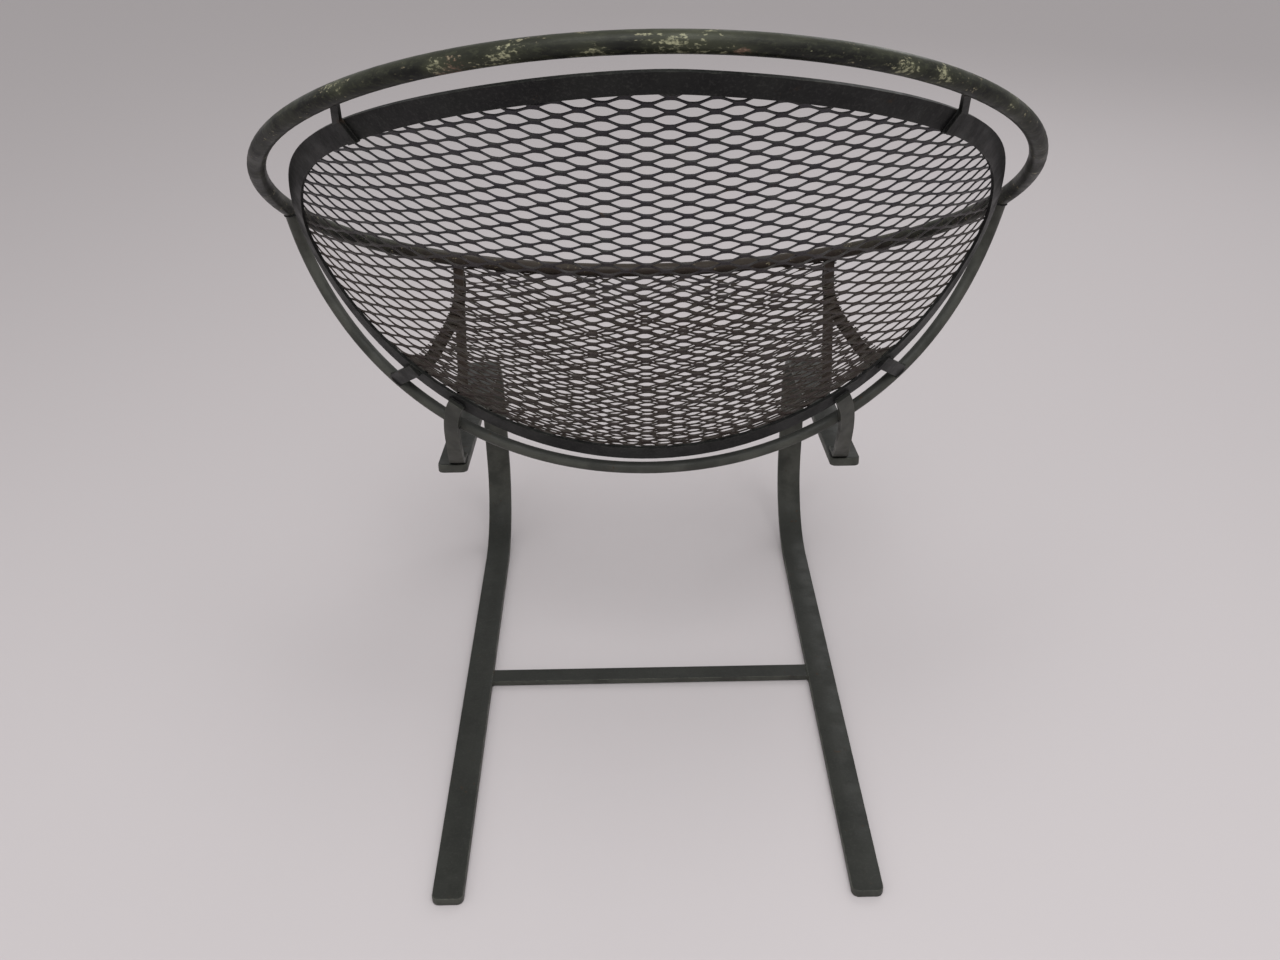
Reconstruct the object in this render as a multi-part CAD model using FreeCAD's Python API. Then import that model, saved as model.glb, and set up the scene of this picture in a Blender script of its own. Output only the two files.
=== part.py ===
import FreeCAD, Part
import math
import os

os.makedirs("parts", exist_ok=True)
V = FreeCAD.Vector

# A garden chair made of two flat springs and a bucket seat of expanded metal in a tube hoop.
# Millimetres. X runs across the chair, the sitter faces -Y, and Z is up from the floor.
# The origin is on the floor, under the middle of the chair's overall box.

# Flat springs: the same bent bar on each side
BAR_WIDTH = 32.0
BAR_THICK = 9.5
BAR_SPACING = 425.0          # between the middles of the two bars
BAR_FRONT = -369.0           # front face of the upright
RUNNER_REAR = 345.0
FOOT_BEND = 105.0            # radii to the middle of the bar
TOP_BEND = 80.0
TOP_BEND_HEIGHT = 214.0      # height of the top bend's centre
ARM_RISE = 7.0               # degrees, rising towards the rear
ARM_LENGTH = 341.0
END_ROUNDING = 7.0

# Bar that ties the runners
TIE_WIDTH = 22.0
TIE_THICK = 6.4
TIE_Y = -2.5

# Hoop: one tube bent into a full circle, higher at the rear
HOOP_RADIUS = 351.3          # to the middle of the tube
HOOP_TUBE = 15.9
HOOP_WALL = 1.6
HOOP_Y = 58.8
HOOP_HEIGHT = 643.2
HOOP_SLOPE = 33.2            # degrees

# Back: part of a cylinder whose straight lines slope down towards the front
BACK_RADIUS = 400.0
BACK_SLOPE = 61.0            # degrees from the floor
BACK_TOP_Y = 363.0           # top of the rim, in the middle
BACK_TOP_HEIGHT = 812.0

# Rim: flat band round the back, half an ellipse below its widest place and a leaner half above
RIM_HALF_WIDTH = 327.0
RIM_RISE = 320.0
RIM_SQUARENESS = 1.83        # of the upper half: 2 would be half an ellipse
RIM_FALL = 147.0
RIM_WIDTH = 19.0
RIM_THICK = 3.0

# Bowl ring: round rod that hangs below the rim, from one side of the hoop to the other
RING_ROD = 12.0
RING_HALF_WIDTH = 348.0
RING_SHOULDER = 356.0        # distance down the back where the rod starts to turn in
RING_FALL = 140.0
RING_SQUARENESS = 2.5        # 2 would be half an ellipse

# Seat: a sheet slung between the hoop's front, two side straps and the bottom of the rim
SEAT_FRONT_HALF_WIDTH = 226.0
SEAT_REAR_HALF_WIDTH = 245.0
SEAT_MARGIN = 14.0           # plain edge of the sheet at its front and rear
SEAT_MIDDLE = [(-212.0, 404.0), (-165.0, 385.0), (-60.0, 375.0), (60.0, 385.0)]
SEAT_SIDE = [(-165.0, 446.0), (-140.0, 436.0), (-75.0, 441.0), (20.0, 457.0)]
STRAP_WIDTH = 14.0
STRAP_THICK = 3.0
STRAP_STEPS = 20

# Expanded metal, drawn with wider diamonds than the real 30 x 13 ones
MESH_THICK = 1.5
MESH_STRAND = 5.0
SHORTEST_EDGE = 1.5          # of an opening where the frame cuts it off
MESH_LONG = 88.0
MESH_SHORT = 38.0

# Pieces that lie against each other are drawn this far apart
SEATING = 0.2

# Tabs between the hoop and the rim, and between the rim and the bowl ring
TAB_WIDTH = 12.0
TAB_THICK = 3.5
HOOP_TAB_X = 231.0
RIM_TAB_X = 232.0
RIM_TAB_SLOPE = 52.0         # degrees downwards, on the unrolled back

# Mounting plates, front struts and rear brackets
PLATE_WIDTH = 44.0
PLATE_LENGTH = 120.0
PLATE_THICK = 5.0
PLATE_REAR = -170.0
STRUT_WIDTH = 12.0
STRUT_THICK = 5.0
STRUT_LEAN = 11.0            # how far the top stands in from the foot
STRUT_AHEAD = 3.0            # how far its top stands in front of the hoop's middle
BRACKET_WIDTH = 16.0
BRACKET_THICK = 5.0
BRACKET_Y = 20.0             # rear end of the bracket's flat foot
BRACKET_FOOT = 18.0          # length of that foot
BRACKET_SIDE = 2.0           # how far the bracket's foot stands out beside the arm
BRACKET_TURN = 10.0          # how far it moves in from its foot to the bowl ring
BRACKET_LEAN = 8.0           # how far it moves in from there to the rim
BRACKET_KNEE = 0.45          # where it bends most, as a share of the way up to the bowl ring
BRACKET_BELLY = 4.0          # how far that bend bulges to the rear and down
FOOT_MARGIN = 2.0            # between the strut's foot and the plate's edge

# Bolts that hold the plates down
BOLT = 8.0
BOLT_CLEARANCE = 0.3
BOLT_PITCH = 60.0
WASHER_DIAMETER = 16.0
WASHER_THICK = 1.6
NUT_THICK = 6.5
NUT_ACROSS_FLATS = 13.0
BOLT_HEAD_THICK = 4.5
BOLT_HEAD = 16.0

BAR_X = BAR_SPACING / 2
HALF_PI = math.pi / 2


def hoop_point(angle, out=0.0):
    """A point on the hoop's middle line: 0 is the rear, 180 the front."""
    slope = math.radians(HOOP_SLOPE)
    radius = HOOP_RADIUS + out
    along = radius * math.cos(math.radians(angle))
    across = radius * math.sin(math.radians(angle))
    return V(across, HOOP_Y + along * math.cos(slope), HOOP_HEIGHT + along * math.sin(slope))


def hoop_angle(x):
    """Angle from the rear at which the hoop is x to the side."""
    return math.degrees(math.asin(x / HOOP_RADIUS))


def back_axes():
    """The direction straight down the back, and the one from the back towards its axis."""
    slope = math.radians(BACK_SLOPE)
    down = V(0, -math.cos(slope), -math.sin(slope))
    inward = V(0, -math.sin(slope), math.cos(slope))
    return down, inward


def back_point(x, fall, lift=0.0):
    """A point on the back: x to the side, fall down it, lift in front of it."""
    down, inward = back_axes()
    side = math.asin(x / BACK_RADIUS)
    radius = BACK_RADIUS - lift
    top = V(0, BACK_TOP_Y, BACK_TOP_HEIGHT)
    depth = BACK_RADIUS - radius * math.cos(side)
    return top + down * fall + inward * depth + V(radius * math.sin(side), 0, 0)


def back_normal(x):
    """Towards the sitter, square to the back."""
    down, inward = back_axes()
    side = math.asin(x / BACK_RADIUS)
    return inward * math.cos(side) - V(math.sin(side), 0, 0)


def rim_flat(angle):
    """Middle of the rim on the unrolled back: distance round it, and fall. 0 is the top."""
    turn = math.radians(angle)
    height = RIM_RISE if math.cos(turn) > 0 else RIM_FALL
    squareness = RIM_SQUARENESS if math.cos(turn) > 0 else 2.0
    across = math.copysign(abs(math.sin(turn)) ** (2 / squareness), math.sin(turn))
    along = math.copysign(abs(math.cos(turn)) ** (2 / squareness), math.cos(turn))
    round_here = BACK_RADIUS * math.asin(RIM_HALF_WIDTH * across / BACK_RADIUS)
    return round_here, RIM_RISE - height * along


def rim_point(angle, outside, lift):
    """A point on the rim, beside its middle line by outside and in front by lift."""
    round_a, fall_a = rim_flat(angle - 0.5)
    round_b, fall_b = rim_flat(angle + 0.5)
    length = math.hypot(round_b - round_a, fall_b - fall_a)
    round_here, fall_here = rim_flat(angle)
    round_here += outside * (fall_b - fall_a) / length
    fall_here -= outside * (round_b - round_a) / length
    return back_point(BACK_RADIUS * math.sin(round_here / BACK_RADIUS), fall_here, lift)


def rim_fall(x):
    """How far down the back the lower half of the rim is, x to the side."""
    return RIM_RISE + RIM_FALL * math.sqrt(1 - (x / RIM_HALF_WIDTH) ** 2)


def rim_top_fall(x):
    """How far down the back the upper half of the rim is, x to the side."""
    share = (x / RIM_HALF_WIDTH) ** RIM_SQUARENESS
    return RIM_RISE - RIM_RISE * (1 - share) ** (1 / RIM_SQUARENESS)


def ring_fall(x):
    """How far down the back the bowl ring is, x to the side."""
    share = abs(x) / RING_HALF_WIDTH
    return RING_SHOULDER + RING_FALL * (1 - share ** RING_SQUARENESS) ** (1 / RING_SQUARENESS)


def smooth(points):
    """A smooth curve through the points."""
    curve = Part.BSplineCurve()
    curve.interpolate(points)
    return curve


def closed(points):
    """A smooth closed curve through the points."""
    curve = Part.BSplineCurve()
    curve.interpolate(Points=points, PeriodicFlag=True)
    return curve


def seat_edges():
    """The seat's profile down its middle, and the one along its +X side."""
    lift = RIM_THICK / 2 + MESH_THICK + 2 * SEATING
    middle = [hoop_point(180)]
    middle += [V(0, y, z) for y, z in SEAT_MIDDLE]
    middle += [back_point(0, rim_fall(0), lift)]
    grow = (SEAT_REAR_HALF_WIDTH - SEAT_FRONT_HALF_WIDTH) / (len(SEAT_SIDE) + 1)
    side = [hoop_point(180 - hoop_angle(SEAT_FRONT_HALF_WIDTH))]
    for step, (y, z) in enumerate(SEAT_SIDE):
        side.append(V(SEAT_FRONT_HALF_WIDTH + grow * step, y, z))
    side += [back_point(SEAT_REAR_HALF_WIDTH, rim_fall(SEAT_REAR_HALF_WIDTH), lift)]
    return smooth(middle), smooth(side)


def seat_point(edges, along, across):
    """A point of the seat: along is 0 at the front, across is -1 to 1 over its width."""
    middle, side = edges
    along = min(1.0, max(0.0, along))
    centre = middle.value(middle.parameterAtDistance(along * middle.length(), 0))
    edge = side.value(side.parameterAtDistance(along * side.length(), 0))
    sag = across * across
    y = centre.y + (edge.y - centre.y) * sag
    z = centre.z + (edge.z - centre.z) * sag
    return V(edge.x * across, y, z)


def seat_frame(edges, along, across):
    """A point of the seat with its sideways, lengthwise and upward directions."""
    step = 0.01
    here = seat_point(edges, along, across)
    sideways = seat_point(edges, along, across + step) - seat_point(edges, along, across - step)
    front = max(along - step, 0.0)
    rear = min(along + step, 1.0)
    lengthwise = seat_point(edges, rear, across) - seat_point(edges, front, across)
    sideways.normalize()
    lengthwise.normalize()
    up = sideways.cross(lengthwise)
    up.normalize()
    return here, sideways, lengthwise, up


def rectangle(centre, wide_way, width, thick_way, thick):
    """A rectangle for a flat bar's cross-section."""
    half_wide = V(wide_way).normalize() * (width / 2)
    half_thick = V(thick_way).normalize() * (thick / 2)
    corners = [centre + half_wide + half_thick, centre - half_wide + half_thick]
    corners += [centre - half_wide - half_thick, centre + half_wide - half_thick]
    return Part.makePolygon(corners + corners[:1])


def rod(curve, diameter):
    """Round rod bent along a curve."""
    start = curve.value(curve.FirstParameter)
    direction = curve.tangent(curve.FirstParameter)[0]
    section = Part.Wire(Part.makeCircle(diameter / 2, start, direction))
    return Part.Wire(curve.toShape()).makePipeShell([section], True, True)


def hoop_bar(diameter):
    """The hoop as a solid ring of a given thickness."""
    slope = math.radians(HOOP_SLOPE)
    axis = V(0, -math.sin(slope), math.cos(slope))
    return Part.makeTorus(HOOP_RADIUS, diameter / 2, V(0, HOOP_Y, HOOP_HEIGHT), axis)


def solid(shape):
    """A solid whose faces point outwards."""
    if shape.Volume < 0:
        shape.reverse()
    return shape


def largest(shape):
    """The biggest of the solids that a cut leaves."""
    return max(shape.Solids, key=lambda piece: piece.Volume)


def mirrored(shape):
    """The same piece on the other side of the chair."""
    return shape.mirror(V(0, 0, 0), V(1, 0, 0))


def clip(polygon, field):
    """The part of a convex polygon that lies inside a convex field, both counter-clockwise."""
    for (x0, y0), (x1, y1) in zip(field, field[1:] + field[:1]):
        kept = []
        for (ax, ay), (bx, by) in zip(polygon, polygon[1:] + polygon[:1]):
            side_a = (x1 - x0) * (ay - y0) - (y1 - y0) * (ax - x0)
            side_b = (x1 - x0) * (by - y0) - (y1 - y0) * (bx - x0)
            if side_a >= 0:
                kept.append((ax, ay))
            if side_a * side_b < 0:
                share = side_a / (side_a - side_b)
                kept.append((ax + (bx - ax) * share, ay + (by - ay) * share))
        polygon = kept
    corners = []
    for corner, following in zip(polygon, polygon[1:] + polygon[:1]):
        if math.dist(corner, following) > SHORTEST_EDGE:
            corners.append(corner)
    return corners


def area(polygon):
    """Area of a flat polygon given by its corners."""
    doubled = 0.0
    for (ax, ay), (bx, by) in zip(polygon, polygon[1:] + polygon[:1]):
        doubled += ax * by - bx * ay
    return doubled / 2


def diamonds(field):
    """Middles and corners of the mesh's openings, laid out flat and cut off at the field."""
    half_long = MESH_LONG / 2
    half_short = MESH_SHORT / 2
    keep = 1 - MESH_STRAND / 2 * math.hypot(half_long, half_short) / (half_long * half_short)
    corners = [(half_long, 0), (0, half_short), (-half_long, 0), (0, -half_short)]
    columns = int(max(x for x, y in field) / MESH_LONG) + 1
    rows = int(max(y for x, y in field) / half_short) + 1
    found = []
    for row in range(rows + 1):
        for column in range(-columns, columns + 1):
            middle = ((column + row % 2 / 2) * MESH_LONG, row * half_short)
            whole = [(middle[0] + x * keep, middle[1] + y * keep) for x, y in corners]
            opening = clip(whole, field)
            if area(opening) > 0.15 * area(whole):
                found.append((middle, opening))
    return found


def plug(middle, opening, frame):
    """Solid that cuts one opening: the frame gives its middle and its three directions."""
    centre, right, ahead, deep = frame
    corners = []
    below = centre - deep * (3 * MESH_THICK)
    for x, y in opening:
        corners.append(below + right * (x - middle[0]) + ahead * (y - middle[1]))
    return Part.Face(Part.makePolygon(corners + corners[:1])).extrude(deep * (6 * MESH_THICK))


def bar_path():
    """Middle line of a flat spring: runner, foot bend, upright, top bend and arm."""
    low = BAR_THICK / 2
    front = BAR_FRONT + BAR_THICK / 2
    foot_y = front + FOOT_BEND
    foot_z = low + FOOT_BEND
    top_y = front + TOP_BEND
    rise = math.radians(ARM_RISE)
    half = math.sqrt(0.5)
    runner_end = V(BAR_X, foot_y, low)
    upright_low = V(BAR_X, front, foot_z)
    upright_high = V(BAR_X, front, TOP_BEND_HEIGHT)
    top_centre = V(BAR_X, top_y, TOP_BEND_HEIGHT)
    arm_start = top_centre + arm_up() * TOP_BEND
    arm_end = arm_start + arm_direction() * ARM_LENGTH
    foot_mid = V(BAR_X, foot_y - FOOT_BEND * half, foot_z - FOOT_BEND * half)
    turn = HALF_PI / 2 - rise / 2
    top_mid = top_centre + V(0, -math.cos(turn), math.sin(turn)) * TOP_BEND
    edges = [Part.makeLine(V(BAR_X, RUNNER_REAR, low), runner_end)]
    edges += [Part.Arc(runner_end, foot_mid, upright_low).toShape()]
    edges += [Part.makeLine(upright_low, upright_high)]
    edges += [Part.Arc(upright_high, top_mid, arm_start).toShape()]
    edges += [Part.makeLine(arm_start, arm_end)]
    return Part.Wire(edges)


def arm_direction():
    """Along the arm, towards the rear."""
    rise = math.radians(ARM_RISE)
    return V(0, math.cos(rise), math.sin(rise))


def arm_up():
    """Square to the arm's top face."""
    rise = math.radians(ARM_RISE)
    return V(0, -math.sin(rise), math.cos(rise))


def arm_point(y, lift):
    """A point over the middle of the +X arm, lift above its top face."""
    start_y = BAR_FRONT + BAR_THICK / 2 + TOP_BEND
    start = V(BAR_X, start_y, TOP_BEND_HEIGHT) + arm_up() * (TOP_BEND + BAR_THICK / 2)
    along = (y - start.y) / arm_direction().y
    return start + arm_direction() * along + arm_up() * lift


def plate_middle():
    """Middle of the mounting plate's underside."""
    return arm_point(PLATE_REAR, SEATING) - arm_direction() * (PLATE_LENGTH / 2)


def bolt_places():
    """Where the bolts cross the arm's top face, on the +X side."""
    half = arm_direction() * (BOLT_PITCH / 2)
    return [plate_middle() - half, plate_middle() + half]


def bolt_holes():
    """Plugs for the bolt holes through plate and arm on the +X side."""
    radius = BOLT / 2 + BOLT_CLEARANCE
    length = 2 * (BAR_THICK + PLATE_THICK)
    plugs = []
    for place in bolt_places():
        plugs.append(Part.makeCylinder(radius, 2 * length, place - arm_up() * length, arm_up()))
    return plugs


def round_ends(bar, way, thick, radius, where):
    """Rounds the corners of a flat bar whose short edges pass the test."""
    corners = []
    for edge in bar.Edges:
        run = edge.Vertexes[-1].Point - edge.Vertexes[0].Point
        along = abs(run.dot(way))
        if abs(along - thick) < 0.01 and abs(edge.Length - thick) < 0.01 and where(edge.CenterOfMass):
            corners.append(edge)
    return bar.makeFillet(radius, corners)


def spring_bar():
    """Flat spring of the +X side, with its corners rounded and the plate's bolt holes."""
    start = V(BAR_X, RUNNER_REAR, BAR_THICK / 2)
    section = rectangle(start, V(1, 0, 0), BAR_WIDTH, V(0, 0, 1), BAR_THICK)
    bar = bar_path().makePipeShell([section], True, False)
    bar = round_ends(bar, V(0, 0, 1), BAR_THICK, END_ROUNDING, at_runner_end)
    bar = round_ends(bar, arm_up(), BAR_THICK, END_ROUNDING, at_arm_end)
    return bar.cut(bolt_holes())


def at_runner_end(place):
    """True for places at the rear end of the runner."""
    return place.y > RUNNER_REAR - 1 and place.z < 2 * BAR_THICK


def at_arm_end(place):
    """True for places at the rear end of the arm."""
    return place.z > TOP_BEND_HEIGHT and place.y > 0


def anywhere(place):
    """True for every place."""
    return True


def cross_bar():
    """Flat bar welded between the two runners, half way up their thickness."""
    length = BAR_SPACING - BAR_WIDTH
    corner = V(-length / 2, TIE_Y - TIE_WIDTH / 2, (BAR_THICK - TIE_THICK) / 2)
    return Part.makeBox(length, TIE_WIDTH, TIE_THICK, corner)


def hoop_rail():
    """The tube hoop, hollow all the way round."""
    return hoop_bar(HOOP_TUBE).cut(hoop_bar(HOOP_TUBE - 2 * HOOP_WALL))


def back_rim():
    """Flat band that frames the back: four closed edges, joined in a ring."""
    half_wide = RIM_WIDTH / 2
    half_thick = RIM_THICK / 2
    corners = [(-half_wide, -half_thick), (half_wide, -half_thick)]
    corners += [(half_wide, half_thick), (-half_wide, half_thick)]
    wires = []
    for outside, lift in corners:
        edge = closed([rim_point(angle, outside, lift) for angle in range(0, 360, 9)])
        wires.append(Part.Wire(edge.toShape()))
    return Part.makeLoft(wires, True, True, True)


def ring_curve():
    """Middle line of the bowl ring, from one side of the hoop to the other."""
    points = []
    for angle in range(-90, 91, 9):
        turn = math.radians(angle)
        x = RING_HALF_WIDTH * math.copysign(abs(math.sin(turn)) ** (2 / RING_SQUARENESS), angle)
        points.append(back_point(x, ring_fall(x)))
    end = back_point(RING_HALF_WIDTH, RING_SHOULDER - 30)
    points = [V(-end.x, end.y, end.z)] + points + [end]
    return smooth(points)


def bowl_ring():
    """Round rod under the rim, its ends cut to the hoop's curve."""
    return largest(rod(ring_curve(), RING_ROD).cut(hoop_bar(HOOP_TUBE)))


def back_sheet():
    """The back's sheet before its openings, lying against the front of the rim."""
    down, inward = back_axes()
    outer = BACK_RADIUS - RIM_THICK / 2 - SEATING
    length = RIM_RISE + RIM_FALL + 40
    base = V(0, BACK_TOP_Y, BACK_TOP_HEIGHT) + inward * BACK_RADIUS - down * 20
    wall = Part.makeCylinder(outer, length, base, down)
    wall = wall.cut(Part.makeCylinder(outer - MESH_THICK, length, base, down))
    outline = []
    for angle in range(0, 360, 5):
        place = rim_point(angle, RIM_WIDTH / 4, 0)
        outline.append(place - inward * (place - base).dot(inward) - inward * BACK_RADIUS)
    block = Part.Face(Part.makePolygon(outline + outline[:1])).extrude(inward * BACK_RADIUS)
    return wall.common(solid(block))


def back_field():
    """The rim's opening on the unrolled back, as a convex polygon."""
    field = []
    for angle in range(360, 0, -9):
        round_here, fall_here = rim_flat(angle)
        round_next, fall_next = rim_flat(angle - 1)
        length = math.hypot(round_next - round_here, fall_next - fall_here)
        inset = RIM_WIDTH / 4 / length
        round_inside = round_here + (fall_next - fall_here) * inset
        fall_inside = fall_here - (round_next - round_here) * inset
        field.append((round_inside, fall_inside))
    return field if area(field) > 0 else field[::-1]


def back_mesh(sheet):
    """Expanded metal of the back, its diamonds cut off along the rim."""
    down, inward = back_axes()
    lift = (RIM_THICK + MESH_THICK) / 2 + SEATING
    plugs = []
    for middle, opening in diamonds(back_field()):
        side = middle[0] / BACK_RADIUS
        x = BACK_RADIUS * math.sin(side)
        sideways = V(math.cos(side), 0, 0) + inward * math.sin(side)
        frame = (back_point(x, middle[1], lift), sideways, down, back_normal(x))
        plugs.append(plug(middle, opening, frame))
    print("openings in the back:", len(plugs))
    return sheet.cut(plugs)


def seat_sheet(edges):
    """The seat's sheet before its openings."""
    grid = []
    for step in range(13):
        row = [seat_point(edges, step / 12, side / 4) for side in range(-4, 5)]
        grid.append(row)
    surface = Part.BSplineSurface()
    surface.interpolate(grid)
    return solid(surface.toShape().makeOffsetShape(-MESH_THICK, 0.01, fill=True))


def seat_mesh(edges, sheet, strut):
    """Expanded metal of the seat, cut to the hoop, the back and the struts that it meets."""
    length = edges[0].length()
    reach = SEAT_FRONT_HALF_WIDTH - STRAP_WIDTH / 2
    field = [(-reach, SEAT_MARGIN), (reach, SEAT_MARGIN)]
    field += [(reach, length - SEAT_MARGIN), (-reach, length - SEAT_MARGIN)]
    plugs = []
    for middle, opening in diamonds(field):
        along = middle[1] / length
        frame = seat_frame(edges, along, middle[0] / seat_point(edges, along, 1).x)
        plugs.append(plug(middle, opening, frame))
    print("openings in the seat:", len(plugs))
    blank = seat_sheet(edges).cut([hoop_bar(HOOP_TUBE), sheet, back_rim(), strut, mirrored(strut)])
    return largest(blank.cut(plugs))


def seat_side_strap(edges, sheet, strut):
    """Flat strap under the +X edge of the seat, from the hoop to the rim."""
    sections = []
    for step in range(STRAP_STEPS + 1):
        along = step / STRAP_STEPS
        half_width = seat_point(edges, along, 1).x
        across = 1 - STRAP_WIDTH / 2 / half_width
        here, sideways, lengthwise, up = seat_frame(edges, along, across)
        centre = here - up * (STRAP_THICK / 2 + SEATING)
        sections.append(rectangle(centre, sideways, STRAP_WIDTH, up, STRAP_THICK))
    strap = Part.makeLoft(sections, True, False)
    return largest(strap.cut([hoop_bar(HOOP_TUBE), strut, sheet, back_rim()]))


def hoop_tab():
    """Tab from the hoop to the back of the rim, on the +X side."""
    fall = rim_top_fall(HOOP_TAB_X)
    lift = -(RIM_THICK + TAB_THICK) / 2 - SEATING
    start = hoop_point(hoop_angle(HOOP_TAB_X))
    normal = back_normal(HOOP_TAB_X)
    share = (HOOP_TAB_X / RIM_HALF_WIDTH) ** (RIM_SQUARENESS / 2)
    angle = math.degrees(math.asin(share))
    outer = rim_point(angle, RIM_WIDTH / 2, lift)
    inner = rim_point(angle, -RIM_WIDTH / 2, lift)
    wide_way = normal.cross(outer - inner)
    sections = [rectangle(start, wide_way, TAB_WIDTH, wide_way.cross(start - outer), TAB_THICK)]
    sections += [rectangle(outer, wide_way, TAB_WIDTH, normal, TAB_THICK)]
    sections += [rectangle(inner, wide_way, TAB_WIDTH, normal, TAB_THICK)]
    return Part.makeLoft(sections, True, True).cut(hoop_bar(HOOP_TUBE))


def tab_place(along, lift):
    """A point on the middle line of the +X rim tab, measured from the middle of the rim."""
    slope = math.radians(RIM_TAB_SLOPE)
    round_here = BACK_RADIUS * math.asin(RIM_TAB_X / BACK_RADIUS) + along * math.cos(slope)
    x = BACK_RADIUS * math.sin(round_here / BACK_RADIUS)
    return back_point(x, rim_fall(RIM_TAB_X) + along * math.sin(slope), lift)


def rim_tab(ring):
    """Tab over the back of the rim to the bowl ring, in line with the strap of the +X side."""
    lift = -(RIM_THICK + TAB_THICK) / 2 - SEATING
    half = RIM_WIDTH / 2
    reach = half + (ring_point_near(tab_place(half, lift)) - tab_place(half, lift)).Length
    sections = []
    for along in (-half, 0, half, reach):
        place = tab_place(along, lift)
        normal = back_normal(place.x)
        run = tab_place(along + 1, lift) - place
        sections.append(rectangle(place, normal.cross(run), STRAP_WIDTH, normal, TAB_THICK))
    return Part.makeLoft(sections, True, True).cut(ring)


def ring_point_near(place):
    """The point of the bowl ring's middle line that is nearest to a place."""
    curve = ring_curve()
    return curve.value(curve.parameter(place))


def plate_foot():
    """Middle of the front strut's foot, on the mounting plate's outer margin."""
    place = arm_point(PLATE_REAR, PLATE_THICK + SEATING) - arm_direction() * STRUT_WIDTH
    place.x = BAR_X + PLATE_WIDTH / 2 - STRUT_WIDTH / 2 - FOOT_MARGIN
    return place


def below_arm(lift):
    """Everything under a plane that lies over the +X arm's top face."""
    corner = V(-2 * BAR_WIDTH, -ARM_LENGTH / 2, -TOP_BEND)
    block = Part.makeBox(4 * BAR_WIDTH, ARM_LENGTH, TOP_BEND, corner)
    block.rotate(V(0, 0, 0), V(1, 0, 0), ARM_RISE)
    block.translate(arm_point((PLATE_REAR + BRACKET_Y) / 2, lift))
    return block


def mounting_plate():
    """Plate bolted on the +X arm, which carries the foot of the front strut."""
    middle = plate_middle()
    corner = middle - arm_direction() * (PLATE_LENGTH / 2)
    edges = [corner - V(PLATE_WIDTH / 2, 0, 0), corner + V(PLATE_WIDTH / 2, 0, 0)]
    edges += [point + arm_direction() * PLATE_LENGTH for point in reversed(edges)]
    plate = Part.Face(Part.makePolygon(edges + edges[:1])).extrude(arm_up() * PLATE_THICK)
    plate = round_ends(plate, arm_up(), PLATE_THICK, END_ROUNDING, anywhere)
    return plate.cut(bolt_holes())


def front_strut():
    """Upright flat bar from the +X plate to the underside of the hoop."""
    foot = plate_foot()
    x = foot.x - STRUT_LEAN
    top = hoop_point(180 - hoop_angle(x), STRUT_AHEAD)
    along = top - foot
    sections = []
    for place in (foot - along * 0.1, top):
        sections.append(rectangle(place, V(1, 0, 0), STRUT_WIDTH, along.cross(V(1, 0, 0)), STRUT_THICK))
    strut = Part.makeLoft(sections, True, True)
    return strut.cut([hoop_bar(HOOP_TUBE), below_arm(PLATE_THICK + SEATING)])


def rear_bracket(ring):
    """Twisted flat strap from the +X arm past the bowl ring to the rim."""
    x = BAR_X - (BAR_WIDTH - BRACKET_WIDTH) / 2 + BRACKET_SIDE
    flat = arm_point(BRACKET_Y, BRACKET_THICK / 2 + SEATING)
    flat.x = x
    heel = flat + arm_direction() * BRACKET_FOOT
    behind_ring = -(RING_ROD + BRACKET_THICK) / 2
    ring_x = x - BRACKET_TURN
    ring_place = back_point(ring_x, ring_fall(ring_x), behind_ring)
    behind_rim = -(RIM_THICK + BRACKET_THICK) / 2 - SEATING
    rim_x = ring_x - BRACKET_LEAN
    rim_place = back_point(rim_x, rim_fall(rim_x), behind_rim)
    bulge = V(0, BRACKET_BELLY, -BRACKET_BELLY)
    knee = heel + (ring_place - heel) * BRACKET_KNEE + bulge
    path = smooth([flat, heel, knee, ring_place, rim_place])
    sections = []
    for step in range(13):
        place = path.value(path.parameterAtDistance(path.length() * step / 12, 0))
        along = path.tangent(path.parameter(place))[0]
        share = min(1.0, max(0.0, (place.z - heel.z) / (ring_place.z - heel.z)))
        face = arm_up() * (1 - share) + back_normal(rim_x) * share
        wide_way = along.cross(face)
        sections.append(rectangle(place, wide_way, BRACKET_WIDTH, wide_way.cross(along), BRACKET_THICK))
    bracket = Part.makeLoft(sections, True, False)
    return bracket.cut([ring, back_rim(), below_arm(SEATING)])


def hexagon(place, across_flats, height):
    """Six-sided block standing on a place square to the arm."""
    corner = across_flats / math.sqrt(3)
    points = []
    for side in range(7):
        turn = math.radians(60 * side)
        sideways = V(corner * math.cos(turn), 0, 0)
        points.append(place + sideways + arm_direction() * corner * math.sin(turn))
    return Part.Face(Part.makePolygon(points)).extrude(arm_up() * height)


def plate_bolt(place):
    """Round-headed bolt through plate and arm."""
    top = place + arm_up() * PLATE_THICK
    length = PLATE_THICK + BAR_THICK + WASHER_THICK + NUT_THICK + 3
    shank = Part.makeCylinder(BOLT / 2, length, top, arm_up() * -1)
    crown = (BOLT_HEAD ** 2 / 4 + BOLT_HEAD_THICK ** 2) / (2 * BOLT_HEAD_THICK)
    ball = Part.makeSphere(crown, top + arm_up() * (BOLT_HEAD_THICK - crown))
    head = ball.common(Part.makeCylinder(BOLT_HEAD / 2 + 1, BOLT_HEAD, top, arm_up()))
    return shank.fuse(head)


def washer(place):
    """Washer under the arm."""
    low = place - arm_up() * (BAR_THICK + 2 * SEATING)
    disc = Part.makeCylinder(WASHER_DIAMETER / 2, WASHER_THICK, low, arm_up() * -1)
    hole = Part.makeCylinder(BOLT / 2 + BOLT_CLEARANCE, WASHER_THICK, low, arm_up() * -1)
    return disc.cut(hole)


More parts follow.
